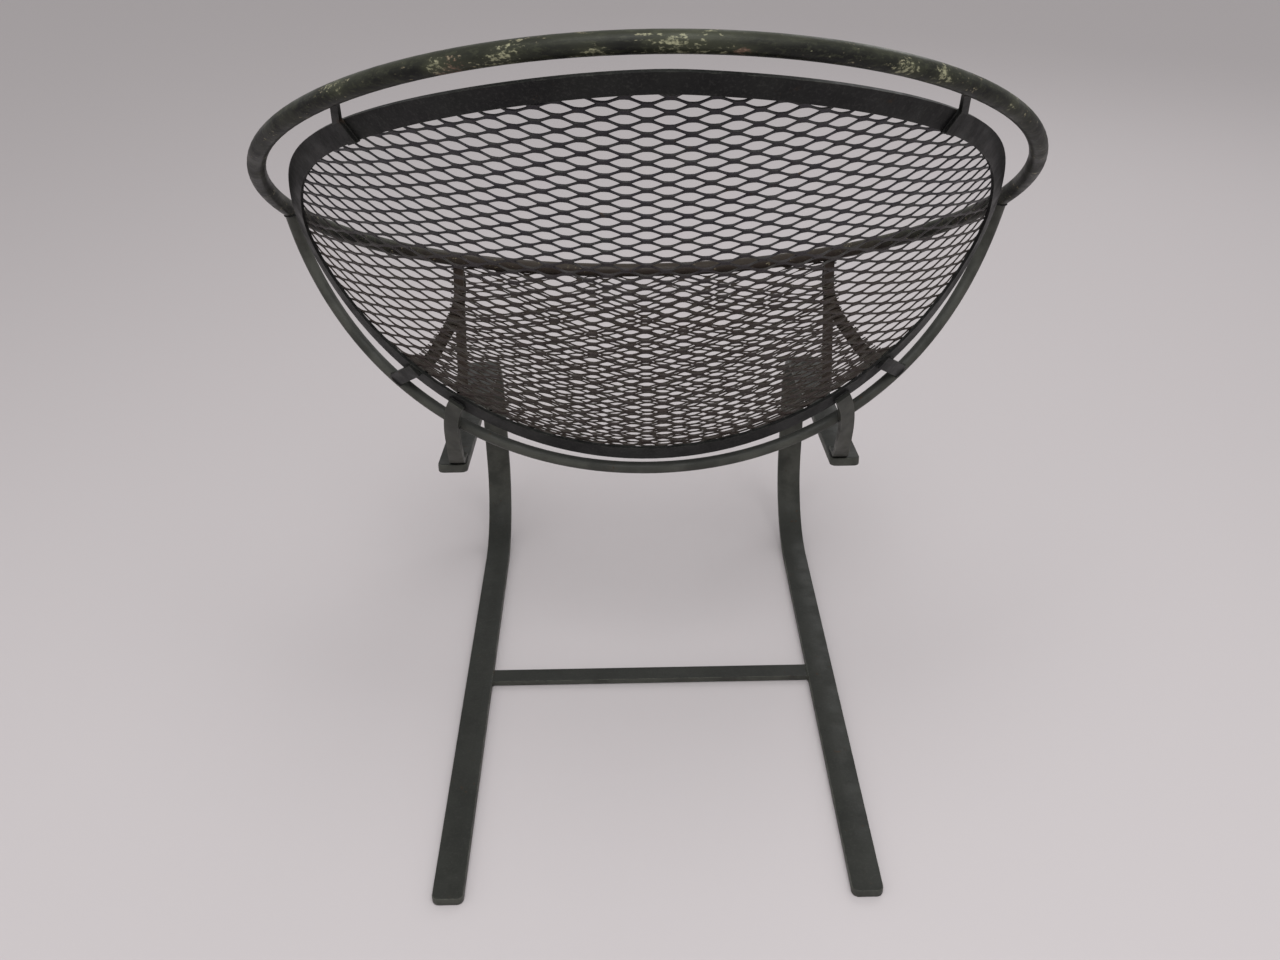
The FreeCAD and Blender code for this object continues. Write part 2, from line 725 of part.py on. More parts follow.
def nut(place):
    """Nut under the washer, its thread a plain bore of the bolt's size."""
    low = place - arm_up() * (BAR_THICK + 2 * SEATING + WASHER_THICK + NUT_THICK)
    block = hexagon(low, NUT_ACROSS_FLATS, NUT_THICK)
    return block.cut(Part.makeCylinder(BOLT / 2, NUT_THICK, low, arm_up()))


def both_sides(make):
    """One piece for every bolt place on both sides of the chair, as separate solids."""
    pieces = [make(place) for place in bolt_places()]
    pieces += [mirrored(piece) for piece in pieces]
    return Part.Compound(pieces)


def save(name, shape):
    shape.exportStep("parts/" + name + ".step")


def save_pair(name, shape):
    """The sitter's left is the +X side."""
    save(name + "_left", shape)
    save(name + "_right", mirrored(shape))


def main():
    edges = seat_edges()
    sheet = back_sheet()
    ring = bowl_ring()
    strut = front_strut()
    save_pair("spring_bar", spring_bar())
    save("cross_bar", cross_bar())
    save("hoop_rail", hoop_rail())
    save("back_rim", back_rim())
    save("bowl_ring", ring)
    save("back_mesh", back_mesh(sheet))
    save("seat_mesh", seat_mesh(edges, sheet, strut))
    save_pair("seat_side_strap", seat_side_strap(edges, sheet, strut))
    save_pair("hoop_tab", hoop_tab())
    save_pair("rim_tab", rim_tab(ring))
    save_pair("front_strut", strut)
    save_pair("rear_bracket", rear_bracket(ring))
    save_pair("mounting_plate", mounting_plate())
    save("plate_bolts", both_sides(plate_bolt))
    save("plate_washers", both_sides(washer))
    save("plate_nuts", both_sides(nut))


main()
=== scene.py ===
# %% [markdown]
# # A spring chair for the garden
# The chair is a bucket of expanded metal in a tube hoop, carried by two flat steel springs.
# Its frame comes from the solid model, already in place and in metres: X runs across the chair,
# the sitter faces -Y, Z is up. This script adds what a solid model is too plain for: the fine
# mesh, the rounded springs, the welds, and the old paint.

# %% Load the frame
import math
import bmesh
import bpy
import numpy as np
from mathutils import Matrix, Vector
from mathutils.bvhtree import BVHTree


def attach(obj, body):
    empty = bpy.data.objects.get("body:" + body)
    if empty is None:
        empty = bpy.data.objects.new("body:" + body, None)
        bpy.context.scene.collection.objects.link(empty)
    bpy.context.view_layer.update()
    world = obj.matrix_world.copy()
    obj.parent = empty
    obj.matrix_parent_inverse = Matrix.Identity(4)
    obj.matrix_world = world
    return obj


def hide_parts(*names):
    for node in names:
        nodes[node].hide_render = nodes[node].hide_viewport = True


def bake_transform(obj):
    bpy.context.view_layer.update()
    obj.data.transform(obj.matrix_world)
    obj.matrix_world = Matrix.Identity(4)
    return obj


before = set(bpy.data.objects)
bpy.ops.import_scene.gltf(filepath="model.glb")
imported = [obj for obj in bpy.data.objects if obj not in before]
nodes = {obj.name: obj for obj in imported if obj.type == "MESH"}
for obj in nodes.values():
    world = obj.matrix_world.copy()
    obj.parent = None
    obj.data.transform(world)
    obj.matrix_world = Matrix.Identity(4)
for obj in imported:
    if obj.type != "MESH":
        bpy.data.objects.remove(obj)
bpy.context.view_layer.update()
print("nodes of the frame:", sorted(nodes))

# %% [markdown]
# ## One piece at a time
# Pieces are made with Blender's own operators, as by hand. A mesh could also be written down as
# numbers, but then nobody sees how its shape comes about. An operator works on whatever is
# selected, and loading leaves the frame selected, so every step starts from one piece.

# %% One piece at a time
MM = 0.001


def only(piece):
    """Selects one object and nothing else."""
    bpy.ops.object.select_all(action="DESELECT")
    piece.select_set(True)
    bpy.context.view_layer.objects.active = piece


def edit(piece, kind="VERT", everything=False):
    """Opens a piece in edit mode, with nothing or everything selected in it."""
    only(piece)
    bpy.ops.object.mode_set(mode="EDIT")
    bpy.ops.mesh.select_mode(type=kind)
    bpy.ops.mesh.select_all(action="SELECT" if everything else "DESELECT")


def done():
    bpy.ops.object.mode_set(mode="OBJECT")


print("pieces selected by loading:", len(bpy.context.selected_objects))

# %% [markdown]
# ## Camera
# The picture is taken from behind the chair and a little above it, looking down by about thirty
# degrees. A constraint could aim the camera, but it leaves no roll, so its three turns are
# given as angles.

# %% Camera
CAMERA_PLACE = Vector((0.0202, 1.190, 1.000))
PITCH = math.radians(30.8)
YAW = math.radians(0.51)
ROLL = math.radians(-0.75)
LENS = 34.45


def add_camera():
    level = Vector((-math.sin(YAW), -math.cos(YAW), 0))
    forward = level * math.cos(PITCH) - Vector((0, 0, math.sin(PITCH)))
    across = Vector((-math.cos(YAW), math.sin(YAW), 0))
    upright = across.cross(forward)
    right = across * math.cos(ROLL) + upright * math.sin(ROLL)
    up = upright * math.cos(ROLL) - across * math.sin(ROLL)
    bpy.ops.object.select_all(action="DESELECT")
    bpy.ops.object.camera_add(location=CAMERA_PLACE)
    camera = bpy.context.object
    turn = np.array([right, up, -forward]).T
    camera.matrix_world = Matrix.Translation(CAMERA_PLACE) @ Matrix(turn.tolist()).to_4x4()
    camera.data.lens = LENS
    return camera


camera = add_camera()
bpy.context.scene.camera = camera
print("camera at", tuple(CAMERA_PLACE))

# %% [markdown]
# ## Patterns from noise
# Weathered paint is a play of patches. A painted picture has to be fitted to every piece and
# gets coarse close up. Noise does neither, and on Object coordinates it stays on its piece when
# the chair moves. Stretched between two limits, it gives patches with soft edges.

# %% Patterns from noise


def new_material(name):
    material = bpy.data.materials.new(name)
    material.use_nodes = True
    tree = material.node_tree
    shader = tree.nodes["Principled BSDF"]
    return material, tree, shader


def spots(tree, size_mm, detail, rough, seed=0.0, stretch=(1, 1, 1)):
    """Noise whose blotches are about size_mm across, as a value near 0.5."""
    place = tree.nodes.new("ShaderNodeTexCoord")
    mapping = tree.nodes.new("ShaderNodeMapping")
    mapping.inputs["Location"].default_value = (seed, seed * 0.37, seed * 0.71)
    mapping.inputs["Scale"].default_value = stretch
    noise = tree.nodes.new("ShaderNodeTexNoise")
    noise.inputs["Scale"].default_value = 1000 / size_mm
    noise.inputs["Detail"].default_value = detail
    noise.inputs["Roughness"].default_value = rough
    tree.links.new(place.outputs["Object"], mapping.inputs["Vector"])
    tree.links.new(mapping.outputs["Vector"], noise.inputs["Vector"])
    return noise.outputs["Fac"]


def between(tree, value, low, high, out_low=0.0, out_high=1.0):
    """Stretches the part of a value between low and high, and cuts off the rest."""
    node = tree.nodes.new("ShaderNodeMapRange")
    node.interpolation_type = "SMOOTHSTEP"
    node.inputs["From Min"].default_value = low
    node.inputs["From Max"].default_value = high
    node.inputs["To Min"].default_value = out_low
    node.inputs["To Max"].default_value = out_high
    tree.links.new(value, node.inputs["Value"])
    return node.outputs["Result"]


def patches(tree, low, high, **noise):
    """Patches of spots with soft edges, where the noise goes from low to high."""
    return between(tree, spots(tree, **noise), low, high)


# %% [markdown]
# ## Layers
# A finish is built up in layers. Each could be a shader, but a colour with a share is lighter
# to work out: 0 shows what is under it, 1 covers that. Two shares multiplied give wear only
# where both are high.

# %% Layers


def combine(tree, kind, first, second):
    """Two values added, multiplied or compared."""
    node = tree.nodes.new("ShaderNodeMath")
    node.operation = kind
    node.use_clamp = kind in ("ADD", "MULTIPLY")
    for socket, value in zip(node.inputs, (first, second)):
        if isinstance(value, (int, float)):
            socket.default_value = value
        else:
            tree.links.new(value, socket)
    return node.outputs["Value"]


def times(tree, first, second):
    return combine(tree, "MULTIPLY", first, second)


def mixed(tree, share, under, over):
    """One colour laid over another where the share is high."""
    node = tree.nodes.new("ShaderNodeMix")
    node.data_type = "RGBA"
    tree.links.new(share, node.inputs["Factor"])
    for name, colour in (("A", under), ("B", over)):
        socket = [item for item in node.inputs if item.name == name and item.type == "RGBA"][0]
        if isinstance(colour, tuple):
            socket.default_value = (*colour, 1)
        else:
            tree.links.new(colour, socket)
    return [item for item in node.outputs if item.type == "RGBA"][0]


# %% [markdown]
# ## Wear that follows the shape
# Hands rub the arrises paler, where a painted highlight lies as well; what looks up gets a
# painted tone, painted shade on most pieces and a lighter one on the blackest; and the wet stays
# low. That could be brushed on by hand, but nodes read it off any piece: Bevel finds the arrises,
# the normal says what looks up, and the place how high it is. Lumps in the paint are too small
# for the mesh, so Bump gives them.

# %% Wear that follows the shape
ARRIS_TURNS = (0.995, 0.86)


def arrises(tree, radius_mm):
    """High along sharp edges, where hands and weather rub the paint thin and a painted highlight
    lies.
    """
    bevel = tree.nodes.new("ShaderNodeBevel")
    bevel.samples = 4
    bevel.inputs["Radius"].default_value = radius_mm * MM
    surface = tree.nodes.new("ShaderNodeNewGeometry")
    angle = tree.nodes.new("ShaderNodeVectorMath")
    angle.operation = "DOT_PRODUCT"
    tree.links.new(bevel.outputs["Normal"], angle.inputs[0])
    tree.links.new(surface.outputs["Normal"], angle.inputs[1])
    return between(tree, angle.outputs["Value"], *ARRIS_TURNS)


def upward(tree, kind):
    """Z of the Object place, a height in metres, or of the Normal, 1 where it looks up."""
    place = tree.nodes.new("ShaderNodeTexCoord")
    split = tree.nodes.new("ShaderNodeSeparateXYZ")
    tree.links.new(place.outputs[kind], split.inputs["Vector"])
    return split.outputs["Z"]


def relief(tree, shader, value, depth_mm, strength, under=None):
    """Raises the surface by a value, over what an earlier relief gave."""
    bump = tree.nodes.new("ShaderNodeBump")
    bump.inputs["Strength"].default_value = strength
    bump.inputs["Distance"].default_value = depth_mm * MM
    tree.links.new(value, bump.inputs["Height"])
    if under is not None:
        tree.links.new(under, bump.inputs["Normal"])
    tree.links.new(bump.outputs["Normal"], shader.inputs["Normal"])
    return bump.outputs["Normal"]


# %% [markdown]
# ## The skin of the paint
# Brushed paint is never even: its shine wanders, and it has soft lumps with a fine grain. One
# even roughness would be quicker, but it makes iron look like plastic.

# %% The skin of the paint
SPECULAR = 0.16


def uneven_shine(tree, shiny, dull):
    """Roughness that wanders between two values."""
    shine = spots(tree, size_mm=24, detail=5, rough=0.6, seed=1.9)
    return between(tree, shine, 0.3, 0.7, shiny, dull)


def lumpy_skin(tree, shader, roughness, lump_mm, lump_depth, grain_depth):
    """The paint's roughness, and its lumps with a fine grain on them."""
    tree.links.new(roughness, shader.inputs["Roughness"])
    shader.inputs["Specular IOR Level"].default_value = SPECULAR
    lumps = spots(tree, size_mm=lump_mm, detail=3, rough=0.5, seed=2.2)
    lumpy = relief(tree, shader, lumps, lump_depth, 0.5)
    grain = spots(tree, size_mm=1.2, detail=2, rough=0.5)
    relief(tree, shader, grain, grain_depth, 0.6, lumpy)


# %% [markdown]
# ## Old black paint
# The iron's black paint has weathered: dull and slightly green where it has chalked, brown
# where rust comes through in spots, and browner all over low in the bowl, which stays wet
# longest. A separate paint for every piece wouldn't match, so one recipe lays its coats over a
# tint, more or less of each.

# %% The coats of the old black paint
BLACK = (0.0042, 0.0042, 0.0044)
CHALKED = (0.017, 0.018, 0.016)
RUST = (0.050, 0.030, 0.018)
GRAIN = (0.045, 0.044, 0.041)
LOW_RUST = (0.037, 0.0265, 0.022)
BOWL_WET = (0.68, 0.58)


def weathered(tree, tint, chalk, rust, painted_top_share, low_rust):
    """Colour of the weathered paint with its painted tone on upper faces, and how much of it is
    rust.
    """
    dulled = patches(tree, 0.38, 0.68, size_mm=38, detail=6, rough=0.62)
    colour = mixed(tree, times(tree, dulled, chalk), tint, CHALKED)
    # Upper faces are pulled toward the chalked colour: a painted tone, painted shade on most
    # pieces, strongest on the springs, and lighter on the blackest pieces.
    painted_top_tone = between(tree, upward(tree, "Normal"), 0.25, 0.95)
    colour = mixed(tree, times(tree, painted_top_tone, painted_top_share), colour, CHALKED)
    grain = patches(tree, 0.48, 0.70, size_mm=2.5, detail=5, rough=0.65, seed=7.7)
    colour = mixed(tree, times(tree, grain, 0.35), colour, GRAIN)
    if low_rust:
        low = between(tree, upward(tree, "Object"), *BOWL_WET)
        colour = mixed(tree, times(tree, low, low_rust), colour, LOW_RUST)
    freckles = patches(tree, 0.60, 0.70, size_mm=9, detail=8, rough=0.72, seed=3.1)
    clusters = patches(tree, 0.45, 0.62, size_mm=70, detail=3, rough=0.5, seed=5.7)
    rusting = times(tree, times(tree, freckles, clusters), rust)
    return mixed(tree, rusting, colour, RUST), rusting


# %% [markdown]
# Along the arrises the paint is worn thin by rubbing and paler, with a painted highlight there as
# well. The springs are scraped most, and their flat upper faces carry painted shade. The rim is the
# blackest piece, and the seat, straps and struts are the brownest; the straps and struts are also
# painted lighter, as painted light for the shade they lie in under the seat.

# %% The five black paints
# Paler colour of arrises worn by rubbing, which also serves as a painted highlight there.
RUBBED_AND_PAINTED_HIGHLIGHT = (0.10, 0.105, 0.085)
LEG_TINT = (0.066, 0.067, 0.058)
MESH_TINT = (0.025, 0.022, 0.028)
SEAT_TINT = (0.038, 0.0275, 0.0225)
# The straps' and struts' tint is raised above the mesh's: painted light that makes up for the shade
# they lie in under the seat.
STRAP_TINT_WITH_PAINTED_LIGHT = (0.041, 0.03, 0.024)


def old_paint(name, tint, chalk, rust, rubbed_and_highlight, painted_top_share=0.15, low_rust=0.0):
    """Weathered black paint, with more or less of each kind of wear, of painted highlight and of
    painted shade.
    """
    material, tree, shader = new_material(name)
    colour, rusting = weathered(tree, tint, chalk, rust, painted_top_share, low_rust)
    rubbing = patches(tree, 0.42, 0.62, size_mm=14, detail=6, rough=0.7, seed=8.3)
    # Paler arrises: paint worn by rubbing, and a painted highlight.
    thin = times(tree, times(tree, arrises(tree, 1.3), rubbing), rubbed_and_highlight)
    tree.links.new(mixed(tree, thin, colour, RUBBED_AND_PAINTED_HIGHLIGHT), shader.inputs["Base Color"])
    roughness = combine(tree, "ADD", uneven_shine(tree, 0.36, 0.58), times(tree, rusting, 0.3))
    lumpy_skin(tree, shader, roughness, lump_mm=7, lump_depth=0.35, grain_depth=0.08)
    print("paint:", name, "with", len(tree.nodes), "nodes")
    return material


# The springs get the strongest painted shade on their upper faces and the strongest painted
# highlight on their arrises.
black_paint = old_paint("old_black_paint", BLACK, chalk=0.45, rust=0.6, rubbed_and_highlight=0.4)
leg_paint = old_paint("old_black_paint_legs", LEG_TINT, chalk=0.6, rust=1.1, rubbed_and_highlight=1.8, painted_top_share=0.8)
mesh_paint = old_paint("old_black_paint_mesh", MESH_TINT, chalk=0.3, rust=1.0, rubbed_and_highlight=0.5,
                       low_rust=0.8)
seat_paint = old_paint("rusty_black_paint_seat", SEAT_TINT, chalk=0.3, rust=1.6, rubbed_and_highlight=0.5)
strap_paint_painted_lighter = old_paint("rusty_black_paint_straps_painted_lighter", STRAP_TINT_WITH_PAINTED_LIGHT, chalk=0.2, rust=1.6, rubbed_and_highlight=0.8)

# %% [markdown]
# ## The hoop's black
# The hoop's black has grey streaks along the tube, which are dulled paint and painted highlights,
# and an olive painted highlight on what looks up; it is hazy all over, and brown at its low front.
# It could share the paint of the rest, but one looks at the hoop first, so it has its own.

# %% The hoop's black
HOOP_BLACK = (0.007, 0.007, 0.0068)
# The grey streaks and the olive below are painted highlights; the streaks are also dulled paint.
HOOP_DULL_AND_STREAK_HIGHLIGHT = (0.022, 0.023, 0.017)
OLIVE_HIGHLIGHT = (0.040, 0.043, 0.025)
HAZE = (0.052, 0.055, 0.034)
STREAKED = (0.28, 1, 1)
HOOP_WET = (0.56, 0.48)


def hoop_black(tree):
    """Colour of the hoop's own paint with its painted highlights, without its scuffs."""
    # Grey streaks along the tube: dulled paint, and painted highlights.
    dulled = patches(tree, 0.38, 0.66, size_mm=22, detail=6, rough=0.66, stretch=STREAKED)
    colour = mixed(tree, dulled, HOOP_BLACK, HOOP_DULL_AND_STREAK_HIGHLIGHT)
    # An olive painted highlight on what looks up.
    olive_highlight = between(tree, upward(tree, "Normal"), 0.1, 0.95)
    colour = mixed(tree, times(tree, olive_highlight, 0.35), colour, OLIVE_HIGHLIGHT)
    grain = patches(tree, 0.48, 0.68, size_mm=3, detail=6, rough=0.68, seed=2.6,
                    stretch=(0.35, 1, 1))
    colour = mixed(tree, times(tree, grain, 0.5), colour, HAZE)
    front = between(tree, upward(tree, "Object"), *HOOP_WET)
    return mixed(tree, times(tree, front, 0.7), colour, LOW_RUST)


# %% [markdown]
# ## Scuffs on the hoop
# Hands pull the chair about by its hoop, so an older coat of pale paint shows there in a few
# places, and two small ones are brown. They could be thin patches of mesh, but paint has no
# thickness that shows. So a scuff is a soft patch round a place, drawn out along the tube.

# %% Where the scuffs are
PALE_SCUFFS = [((98, 348, 822), 30), ((40, 355, 830), 16), ((-20, 361, 833), 34),
               ((-178, 321, 806), 20), ((-205, 306, 797), 22), ((-275, 253, 768), 18),
               ((228, 291, 796), 18), ((150, 335, 818), 16)]
BROWN_SCUFFS = [((135, 337, 814), 24), ((-60, 357, 828), 12)]
SCUFF_SHAPE = (0.45, 1, 1)
SCUFF_OUTSIDE = 0.6
SCUFF_INSIDE = 0.1


def vector_step(tree, kind, vector, by=(0, 0, 0)):
    """The node for one step of vector arithmetic."""
    node = tree.nodes.new("ShaderNodeVectorMath")
    node.operation = kind
    node.inputs[1].default_value = by
    tree.links.new(vector, node.inputs[0])
    return node


def scuffed(tree, scuffs):
    """High round the given places, each with its reach in mm."""
    place = tree.nodes.new("ShaderNodeTexCoord").outputs["Object"]
    total = None
    for centre, reach in scuffs:
        offset = vector_step(tree, "SUBTRACT", place, [value * MM for value in centre])
        drawn = vector_step(tree, "MULTIPLY", offset.outputs["Vector"], SCUFF_SHAPE)
        away = vector_step(tree, "LENGTH", drawn.outputs["Vector"]).outputs["Value"]
        patch = between(tree, away, reach * SCUFF_OUTSIDE * MM, reach * SCUFF_INSIDE * MM)
        total = patch if total is None else combine(tree, "MAXIMUM", total, patch)
    return total


print("scuffs:", len(PALE_SCUFFS), "pale and", len(BROWN_SCUFFS), "brown")

# %% [markdown]
# Each scuff is hazy and shows its coat only in flakes, which noise breaks out. Here and there a
# small pale speck lies on the tube.

# %% Worn paint on the hoop
OLD_COAT = (0.26, 0.255, 0.165)
BROWN_COAT = (0.16, 0.095, 0.07)
SPECK = (0.14, 0.14, 0.09)


def worn_hoop_paint():
    material, tree, shader = new_material("worn_hoop_paint")
    colour = hoop_black(tree)
    flakes = spots(tree, size_mm=2.2, detail=6, rough=0.62, seed=6.2, stretch=(0.5, 1, 1))
    blotches = spots(tree, size_mm=9, detail=4, rough=0.6, seed=4.4, stretch=STREAKED)
    broken = combine(tree, "ADD", times(tree, flakes, 0.55), times(tree, blotches, 0.45))
    for scuffs, coat in ((BROWN_SCUFFS, BROWN_COAT), (PALE_SCUFFS, OLD_COAT)):
        near = scuffed(tree, scuffs)
        colour = mixed(tree, times(tree, near, blotches), colour, HAZE)
        share = combine(tree, "ADD", broken, times(tree, near, 0.10))
        colour = mixed(tree, between(tree, share, 0.585, 0.690), colour, coat)
    small = patches(tree, 0.66, 0.70, size_mm=4, detail=5, rough=0.7, seed=9.5)
    grouped = patches(tree, 0.45, 0.60, size_mm=60, detail=3, rough=0.5, seed=3.5)
    colour = mixed(tree, times(tree, small, grouped), colour, SPECK)
    tree.links.new(colour, shader.inputs["Base Color"])
    lumpy_skin(tree, shader, uneven_shine(tree, 0.34, 0.56), lump_mm=6, lump_depth=0.3,
               grain_depth=0.06)
    return material


hoop_paint = worn_hoop_paint()
print("paint:", hoop_paint.name, "with", len(hoop_paint.node_tree.nodes), "nodes")

# %% [markdown]
# ## Expanded metal: the shape of an opening
# Expanded metal is slit and stretched sheet. Four strands leave each bond, the short bar where
# two rows of openings meet. Straight strands would give diamonds. A real strand's outer edge
# rises as a parabola, which makes the opening a lens.

# %% The shape of an opening
LONG_WAY = 31.5
SHORT_WAY = 13.4
BOND_LENGTH = 6.0
BOND_WAIST = 4.9


def outer_edge(x):
    """Height of a strand's outer edge over the bond's middle, x along from it, in mm."""
    run = x / ((LONG_WAY - BOND_LENGTH) / 2)
    return BOND_WAIST / 2 + (SHORT_WAY - BOND_WAIST) / 2 * run * run


def inner_edge(x):
    """Height of its inner edge: the outer edge turned half round the strand's middle."""
    return SHORT_WAY / 2 - outer_edge(LONG_WAY / 2 - x)


print("openings in mm:", LONG_WAY, "by", SHORT_WAY)

# %% [markdown]
# ## Picking by place
# By hand, one clicks on a face or an edge. A script can't use an element's number, because an
# operator may change it. So faces, edges and points are picked by where they are.

# %% Picking by place
NEAR = 0.2


def middle(element):
    """Middle of an edge or a face."""
    places = [vertex.co for vertex in element.verts]
    return sum(places, Vector()) / len(places)


def pick(piece, kind, test):
    """In edit mode, selects the faces, edges or verts that pass a test, and no others."""
    mesh = bmesh.from_edit_mesh(piece.data)
    bpy.ops.mesh.select_all(action="DESELECT")
    found = [element for element in getattr(mesh, kind) if test(element)]
    for element in found:
        element.select_set(True)
    mesh.select_flush_mode()
    bmesh.update_edit_mesh(piece.data)
    return len(found)


def named(name):
    """Names the object that an operator has just made."""
    piece = bpy.context.object
    piece.name = name
    piece.data.name = name
    return piece


def size_of(piece):
    """The number of faces of a piece, and its size in mm."""
    corners = np.array([vertex.co for vertex in piece.data.vertices])
    return len(piece.data.polygons), np.round(np.ptp(corners, axis=0) / MM, 1).tolist()


print("the hoop's faces, its size in mm:", size_of(nodes["hoop_rail"]))

# %% [markdown]
# ## Expanded metal: one bond
# The pulling has leaned all bonds to the same side. The sheet could be a plate with thousands
# of holes, but it is only one small cross, repeated. So a flat grid is drawn in at its waist
# and leaned, and four half strands are pulled out of its ends in steps.

# %% One bond with its half strands
LEAN = math.radians(14)
STRAND_STEPS = (0.45, 1.0)


def strand_section(share, right, up):
    """Middle and half height of a strand, from its bond's end at 0 to its own middle at 1."""
    x = BOND_LENGTH / 2 + (LONG_WAY / 4 - BOND_LENGTH / 2) * share
    half = (outer_edge(x) - inner_edge(x)) / 2 if share else outer_edge(x) / 2
    low = inner_edge(x) if share else 0.0
    lift = outer_edge(BOND_LENGTH / 2) / 2 * math.sin(LEAN) * (1 - share)
    across = (low + half) * (math.cos(LEAN) * (1 - share) + share)
    return Vector((x * right, across * up, lift * up)), half


def pull_out(run):
    """Extrudes what is selected along a run in mm."""
    bpy.ops.mesh.extrude_region_move(TRANSFORM_OT_translate={"value": run * MM})


def pull_strand(bond, right, up):
    """Pulls half a strand out of one half of a bond's end."""
    here, half = strand_section(0, right, up)
    for share in STRAND_STEPS:
        there, next_half = strand_section(share, right, up)
        if pick(bond, "edges", lambda edge: (middle(edge) / MM - here).length < NEAR) != 1:
            raise RuntimeError("the end of a strand wasn't found")
        pull_out(there - here)
        taper = next_half / half
        bpy.ops.transform.resize(value=(1, taper, taper), center_override=there * MM)
        here, half = there, next_half


def add_bond():
    bpy.ops.object.select_all(action="DESELECT")
    bpy.ops.mesh.primitive_grid_add(x_subdivisions=2, y_subdivisions=2, size=1)
    bond = named("expanded_metal")
    edit(bond, everything=True)
    end_height = 2 * outer_edge(BOND_LENGTH / 2)
    bpy.ops.transform.resize(value=(BOND_LENGTH * MM, end_height * MM, 1))
    pick(bond, "verts", lambda vertex: abs(vertex.co.x) < NEAR * MM)
    bpy.ops.transform.resize(value=(1, BOND_WAIST / end_height, 1), center_override=(0, 0, 0))
    bpy.ops.mesh.select_all(action="SELECT")
    bpy.ops.transform.rotate(value=-LEAN, orient_axis="X", center_override=(0, 0, 0))
    bpy.ops.mesh.select_mode(type="EDGE")
    for right in (1, -1):
        for up in (1, -1):
            pull_strand(bond, right, up)
    done()
    return bond


bond = add_bond()
print("faces of one bond, its size in mm:", size_of(bond))

# %% [markdown]
# ## Expanded metal: a flat sheet
# Two bonds, set half a mesh apart both ways, make the pattern's unit. Copying it in a loop
# would be slow, so two Array modifiers lay it out, and merging the doubles joins the strands.

# %% A flat sheet of bonds
MERGE_GAP = 0.02


def apply_all(piece):
    """Applies every modifier of a piece, from the top down."""
    only(piece)
    for modifier in list(piece.modifiers):
        bpy.ops.object.modifier_apply(modifier=modifier.name)


def add_sheet(bond, name, width, length):
    """Flat sheet, at least width by length in mm, with its middle on x = 0, from y = 0."""
    columns = math.ceil(width / LONG_WAY) + 2
    rows = math.ceil(length / SHORT_WAY) + 2
    only(bond)
    bpy.ops.object.duplicate()
    sheet = named(name)
    edit(sheet, everything=True)
    half_step = (LONG_WAY / 2 * MM, SHORT_WAY / 2 * MM, 0)
    bpy.ops.mesh.duplicate_move(TRANSFORM_OT_translate={"value": half_step})
    bpy.ops.mesh.select_all(action="SELECT")
    start = (-(columns - 1) / 2 * LONG_WAY * MM, -SHORT_WAY * MM, 0)
    bpy.ops.transform.translate(value=start)
    done()
    for count, step in ((columns, (LONG_WAY * MM, 0, 0)), (rows, (0, SHORT_WAY * MM, 0))):
        array = sheet.modifiers.new("Array", "ARRAY")
        array.use_relative_offset = False
        array.use_constant_offset = True
        array.constant_offset_displace = step
        array.count = count
    apply_all(sheet)
    edit(sheet, everything=True)
    bpy.ops.mesh.remove_doubles(threshold=MERGE_GAP * MM)
    done()
    return sheet


# %% [markdown]
# ## From the flat sheet to the chair
# A smith cuts a sheet flat and then bends it. The other way round, every cut would have to
# follow a curved edge. So it is cut and thickened flat, and only then does each point go to its
# place on the curve.

# %% Cut, thicken and lay
STRAND_THICK = 1.4
MESH_HALF_THICK = outer_edge(BOND_LENGTH / 2) * math.sin(LEAN) + STRAND_THICK / 2


def cut_along(sheet, outline):
    """Cuts the flat sheet along a convex outline, given counter-clockwise in mm."""
    edit(sheet, "FACE")
    for start, stop in zip(outline, outline[1:] + outline[:1]):
        run = Vector((stop[0] - start[0], stop[1] - start[1], 0))
        outward = Vector((run.y, -run.x, 0)).normalized()
        corner = Vector((start[0], start[1], 0)) * MM
        bpy.ops.mesh.select_all(action="SELECT")
        bpy.ops.mesh.bisect(plane_co=corner, plane_no=outward, clear_outer=True)
    done()


def thicken(sheet):
    """Gives the strands their thickness, half to each side."""
    solidify = sheet.modifiers.new("Solidify", "SOLIDIFY")
    solidify.thickness = STRAND_THICK * MM
    solidify.offset = 0
    apply_all(sheet)


def lay_on(sheet, surface):
    """Puts each point of the flat sheet on a surface, at its own height over it."""
    for vertex in sheet.data.vertices:
        flat = vertex.co / MM
        place, normal = surface(flat.x, flat.y)
        vertex.co = place + normal * (flat.z * MM)
    sheet.data.update()


print("the sheet's whole thickness in mm:", round(2 * MESH_HALF_THICK, 2))

# %% [markdown]
# ## The back's surface
# The back is rolled to a part of a cylinder that slopes down towards the front. A place on it
# is given by how far it is round the cylinder and how far down. A Simple Deform modifier could
# bend the sheet, but the mesh has to meet the rim to a millimetre.

# %% The back's surface
BACK_RADIUS = 400.0
BACK_SLOPE = math.radians(61)
BACK_TOP = Vector((0, 363.0, 812.0))
BACK_DOWN = Vector((0, -math.cos(BACK_SLOPE), -math.sin(BACK_SLOPE)))
BACK_INWARD = Vector((0, -math.sin(BACK_SLOPE), math.cos(BACK_SLOPE)))


def back_place(rolled, fall, lift):
    """A place on the back in mm, and its normal: rolled round it, fall down it, lift in front."""
    side = rolled / BACK_RADIUS
    normal = BACK_INWARD * math.cos(side) - Vector((math.sin(side), 0, 0))
    axis = BACK_TOP + BACK_DOWN * fall + BACK_INWARD * BACK_RADIUS
    return axis - normal * (BACK_RADIUS - lift), normal


print("the back's centre line starts at, in mm:", list(back_place(0, 0, 0)[0]))

# %% [markdown]
# ## The rim's line
# The mesh of the back ends on the rim, a flat band bent to a rounded outline. Its lower half is
# an ellipse, and its upper half is nearly one. The line could be read off the rim's own mesh,
# but a few values say the same.

